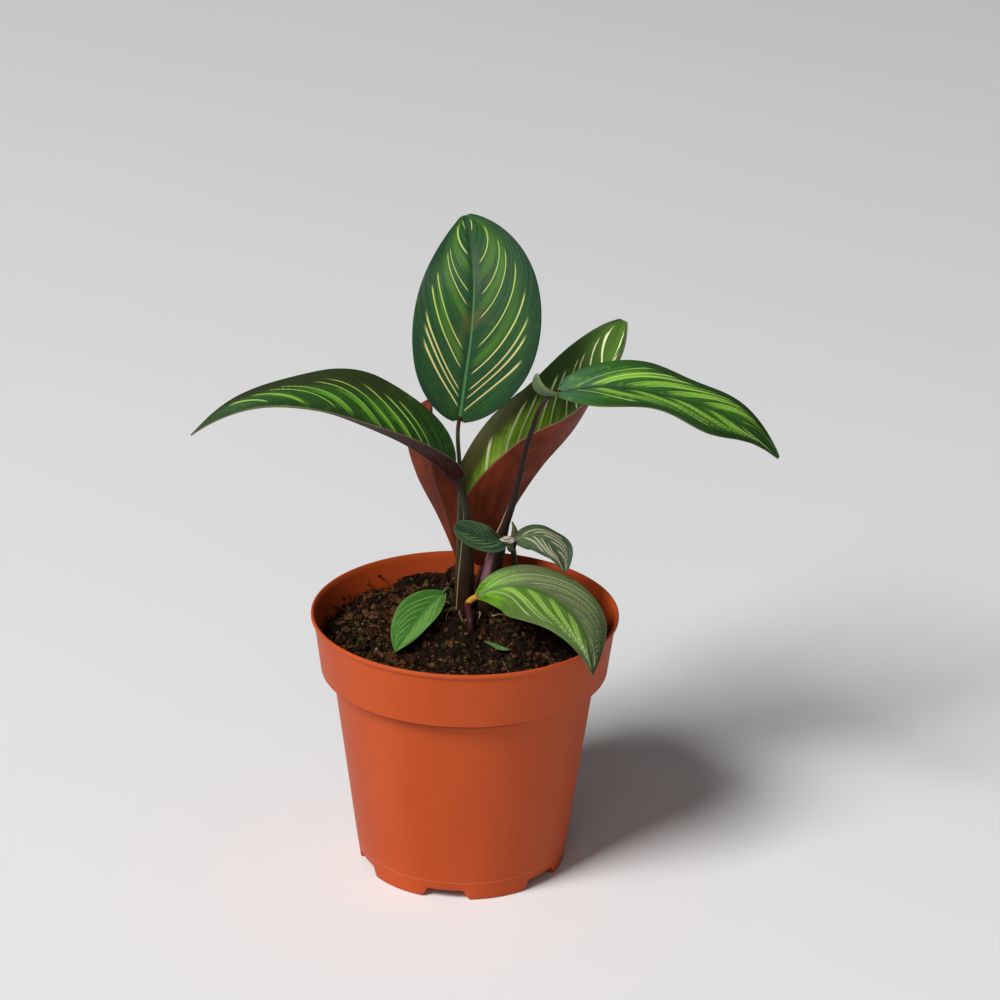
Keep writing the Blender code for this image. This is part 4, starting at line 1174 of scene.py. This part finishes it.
stalk("upright_stalk", [(-0.0022, 0.0165), (-0.0022, 0.0165, 0.030), (-0.0024, 0.0180, 0.050)], upright,
      (0.0017, 0.0012, 0.0008, 0.0007), olive_stem)
stalk("left_stalk", [(0.0000, 0.0105), (0.0005, 0.0095, 0.026), (0.0000, 0.0085, 0.040)], left,
      (0.0027, 0.0024, 0.0014, 0.0010), sheath_stem, wrap=(0.30, 0.26, 0.16, 0.0),
      edge=radians(196))
stalk("right_stalk", [(0.0078, 0.0150), (0.0124, 0.0135, 0.028), (0.0165, 0.0110, 0.043),
                      (0.0220, 0.0080, 0.069), (0.0260, 0.0080, 0.080)], right,
      (0.0044, 0.0031, 0.0014, 0.0010, 0.0009, 0.0007), dark_stem,
      wrap=(0.35, 0.42, 0.0, 0.0), edge=radians(206), reach_in=0.0008)
stalk("rear_right_stalk", [(0.0065, 0.0255)], rear_right, (0.0036, 0.0032, 0.0026), wine_stem,
      wrap=0.12, edge=radians(240))
stalk("rear_left_stalk", [(-0.0010, 0.0250)], rear_left, (0.0028, 0.0024, 0.0018), wine_stem,
      wrap=0.10, edge=radians(220))
stalk("low_right_stalk", [(0.0020, -0.0020)], low_right, (0.0015, 0.0012, 0.0013, 0.0011), yellow_jointed,
      sink=0.003)
stalk("low_left_stalk", [(-0.0045, 0.0120)], low_left, (0.0010, 0.0007, 0.0006), green_stem,
      sink=0.003)


# ---------------------------------------------------------------- side shoot
# A short stem carries the two small leaves at one node, with a whitish papery scale left on it and
# the point of the next bract behind.

SHOOT_FOOT = (0.0180, 0.0225)
x, y, z = NODE
foot = mix_height(*SHOOT_FOOT)
route = [(*SHOOT_FOOT, foot - 0.004), (*SHOOT_FOOT, foot + 0.002)]
route += from_crown((0.0176, 0.0208, 0.012), (0.0166, 0.0165, 0.022), (x, y, z - 0.002), (x, y, z + 0.0006))
bract = from_crown(
    (x + 0.0010, y + 0.0030, z - 0.004), (x + 0.0016, y + 0.0034, z + 0.002),
    (x + 0.0006, y + 0.003, z + 0.0062),
)
shoot = bmesh.new()
grow(shoot, route, (0.0012, 0.0010, 0.0011), 60, 20)
grow(shoot, bract, (0.0009, 0.0014, 0.0002), 60, 20)
for side in (-1, 1):
    arm = from_crown(
        (x, y, z - 0.0003), (x + side * 0.0016, y, z + 0.0001), (x + side * 0.0034, y - 0.0005, z + 0.0004),
    )
    grow(shoot, arm, (0.0007, 0.0006, 0.0004), 12, 12, facing=(0, 0, 1))
close_up(shoot)
add_piece("side_shoot", shoot, [green_stem], ["side_shoot_stem"])

scale_piece = bmesh.new()
low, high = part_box("dry_node_scale")
middle = (low + high) / 2
rough_lump(
    scale_piece, middle + Vector((-0.0004, -0.0012, 0.0001)), (high - low) * 1.6,
    Euler((0.1, 0.2, 0.1)).to_matrix(), 0.35, 3,
)
papery = Finish("papery_scale", {"Specular IOR Level": 0.25, "Metallic": 0.0})
place = papery.place()
creases = papery.grain(papery.stretch(place, (1, 3, 2)), 900, 4, 0.6)
add_piece(
    "papery_node_scale", scale_piece,
    [papery.show(
        Base_Color=papery.mix(creases.rise(0.35, 0.65), (0.330, 0.270, 0.200), (0.640, 0.590, 0.520)),
        Roughness=0.7 + creases * 0.2, Normal=papery.bump(creases, 0.0004),
    )],
    ["dry_node_scale"],
)


# ---------------------------------------------------------------- fallen bit of leaf
# A torn strip of green leaf lies on the mix in front of the plant, curled at its ends.

SCRAP_X, SCRAP_Y = 0.0115, -0.0120
SCRAP_HALF = (0.0042, 0.0013)
scrap = bmesh.new()
bmesh.ops.create_grid(scrap, x_segments=26, y_segments=8, size=1)
scrap_vein, scrap_span = [], []
for vert in scrap.verts:
    along, side = vert.co.x, vert.co.y
    scrap_vein.append(((along + 1) / 2, 8.0, abs(side)))
    scrap_span.append(((along + 1) / 2, side * 1.3, side))
    jag = 1 + 0.12 * noise.noise((along * 5, side, 0.5))
    x = SCRAP_X + SCRAP_HALF[0] * along - 0.0006 * side
    y = SCRAP_Y + SCRAP_HALF[1] * side * (1.15 - along**2) * jag - 0.0016 * along
    vert.co = (x, y, mix_height(x, y) + 0.0011 + 0.0006 * along**2 + 0.0003 * side**2)
scrap_piece = add_piece(
    "fallen_leaf_scrap", scrap, [fresh_green, pale_under, leaf_edge],
    ["fallen_leaf_fragment"],
)
carry(scrap_piece, vein=np.array(scrap_vein), span=np.array(scrap_span))
thicken(scrap_piece, 0.0003, 0)


# ---------------------------------------------------------------- studio
# A pale floor, a large soft light high on the left, a weak one in front, and the camera.

bpy.context.scene.view_settings.view_transform = "Standard"
ground = bmesh.new()
bmesh.ops.create_circle(ground, cap_ends=True, segments=96, radius=7.0)
bmesh.ops.translate(ground, vec=(0, 0, -0.00005), verts=ground.verts[:])
floor_mesh = bpy.data.meshes.new("studio_floor")
ground.to_mesh(floor_mesh)
ground.free()
floor = bpy.data.objects.new("studio_floor", floor_mesh)
bpy.context.scene.collection.objects.link(floor)
pale = Finish("pale_floor", {"Roughness": 0.9, "Specular IOR Level": 0.1, "Metallic": 0.0})
tone = pale.grain(pale.place(), 3.0, 2)
floor_mesh.materials.append(pale.show(Base_Color=pale.mix(tone, (0.86, 0.86, 0.86), (0.89, 0.89, 0.89))))

world = bpy.data.worlds.new("studio")
world.use_nodes = True
world.node_tree.nodes["Background"].inputs["Color"].default_value = (1.0, 1.0, 1.0, 1.0)
world.node_tree.nodes["Background"].inputs["Strength"].default_value = 0.09
bpy.context.scene.world = world


def softbox(name, spot, size, power):
    data = bpy.data.lights.new(name, "AREA")
    data.shape, data.size, data.energy = "SQUARE", size, power
    light = bpy.data.objects.new(name, data)
    light.location = spot
    light.rotation_euler = (Vector((0, 0, 0.12)) - Vector(spot)).to_track_quat("-Z", "Y").to_euler()
    bpy.context.scene.collection.objects.link(light)


softbox("key_softbox", (-2.9, -2.7, 4.1), 2.2, 345)
softbox("front_fill", (-0.2, -1.6, 0.7), 1.0, 3)

CAMERA_SPOT = Vector((0, -1.1123, 0.5910))
YAW, PITCH, ROLL = radians(0.598), radians(22.2), radians(0.975)
ahead = Vector((sin(YAW) * cos(PITCH), cos(YAW) * cos(PITCH), -sin(PITCH)))
across = Vector((cos(YAW), -sin(YAW), 0))
upward = across.cross(ahead)
tilted = (across * cos(ROLL) + upward * sin(ROLL), upward * cos(ROLL) - across * sin(ROLL), -ahead)
camera_data = bpy.data.cameras.new("camera")
camera_data.lens, camera_data.sensor_width = 125, 36
camera_data.clip_start, camera_data.clip_end = 0.05, 30
camera = bpy.data.objects.new("camera", camera_data)
camera.matrix_world = Matrix.Translation(CAMERA_SPOT) @ Matrix(tilted).transposed().to_4x4()
bpy.context.scene.collection.objects.link(camera)
bpy.context.scene.camera = camera
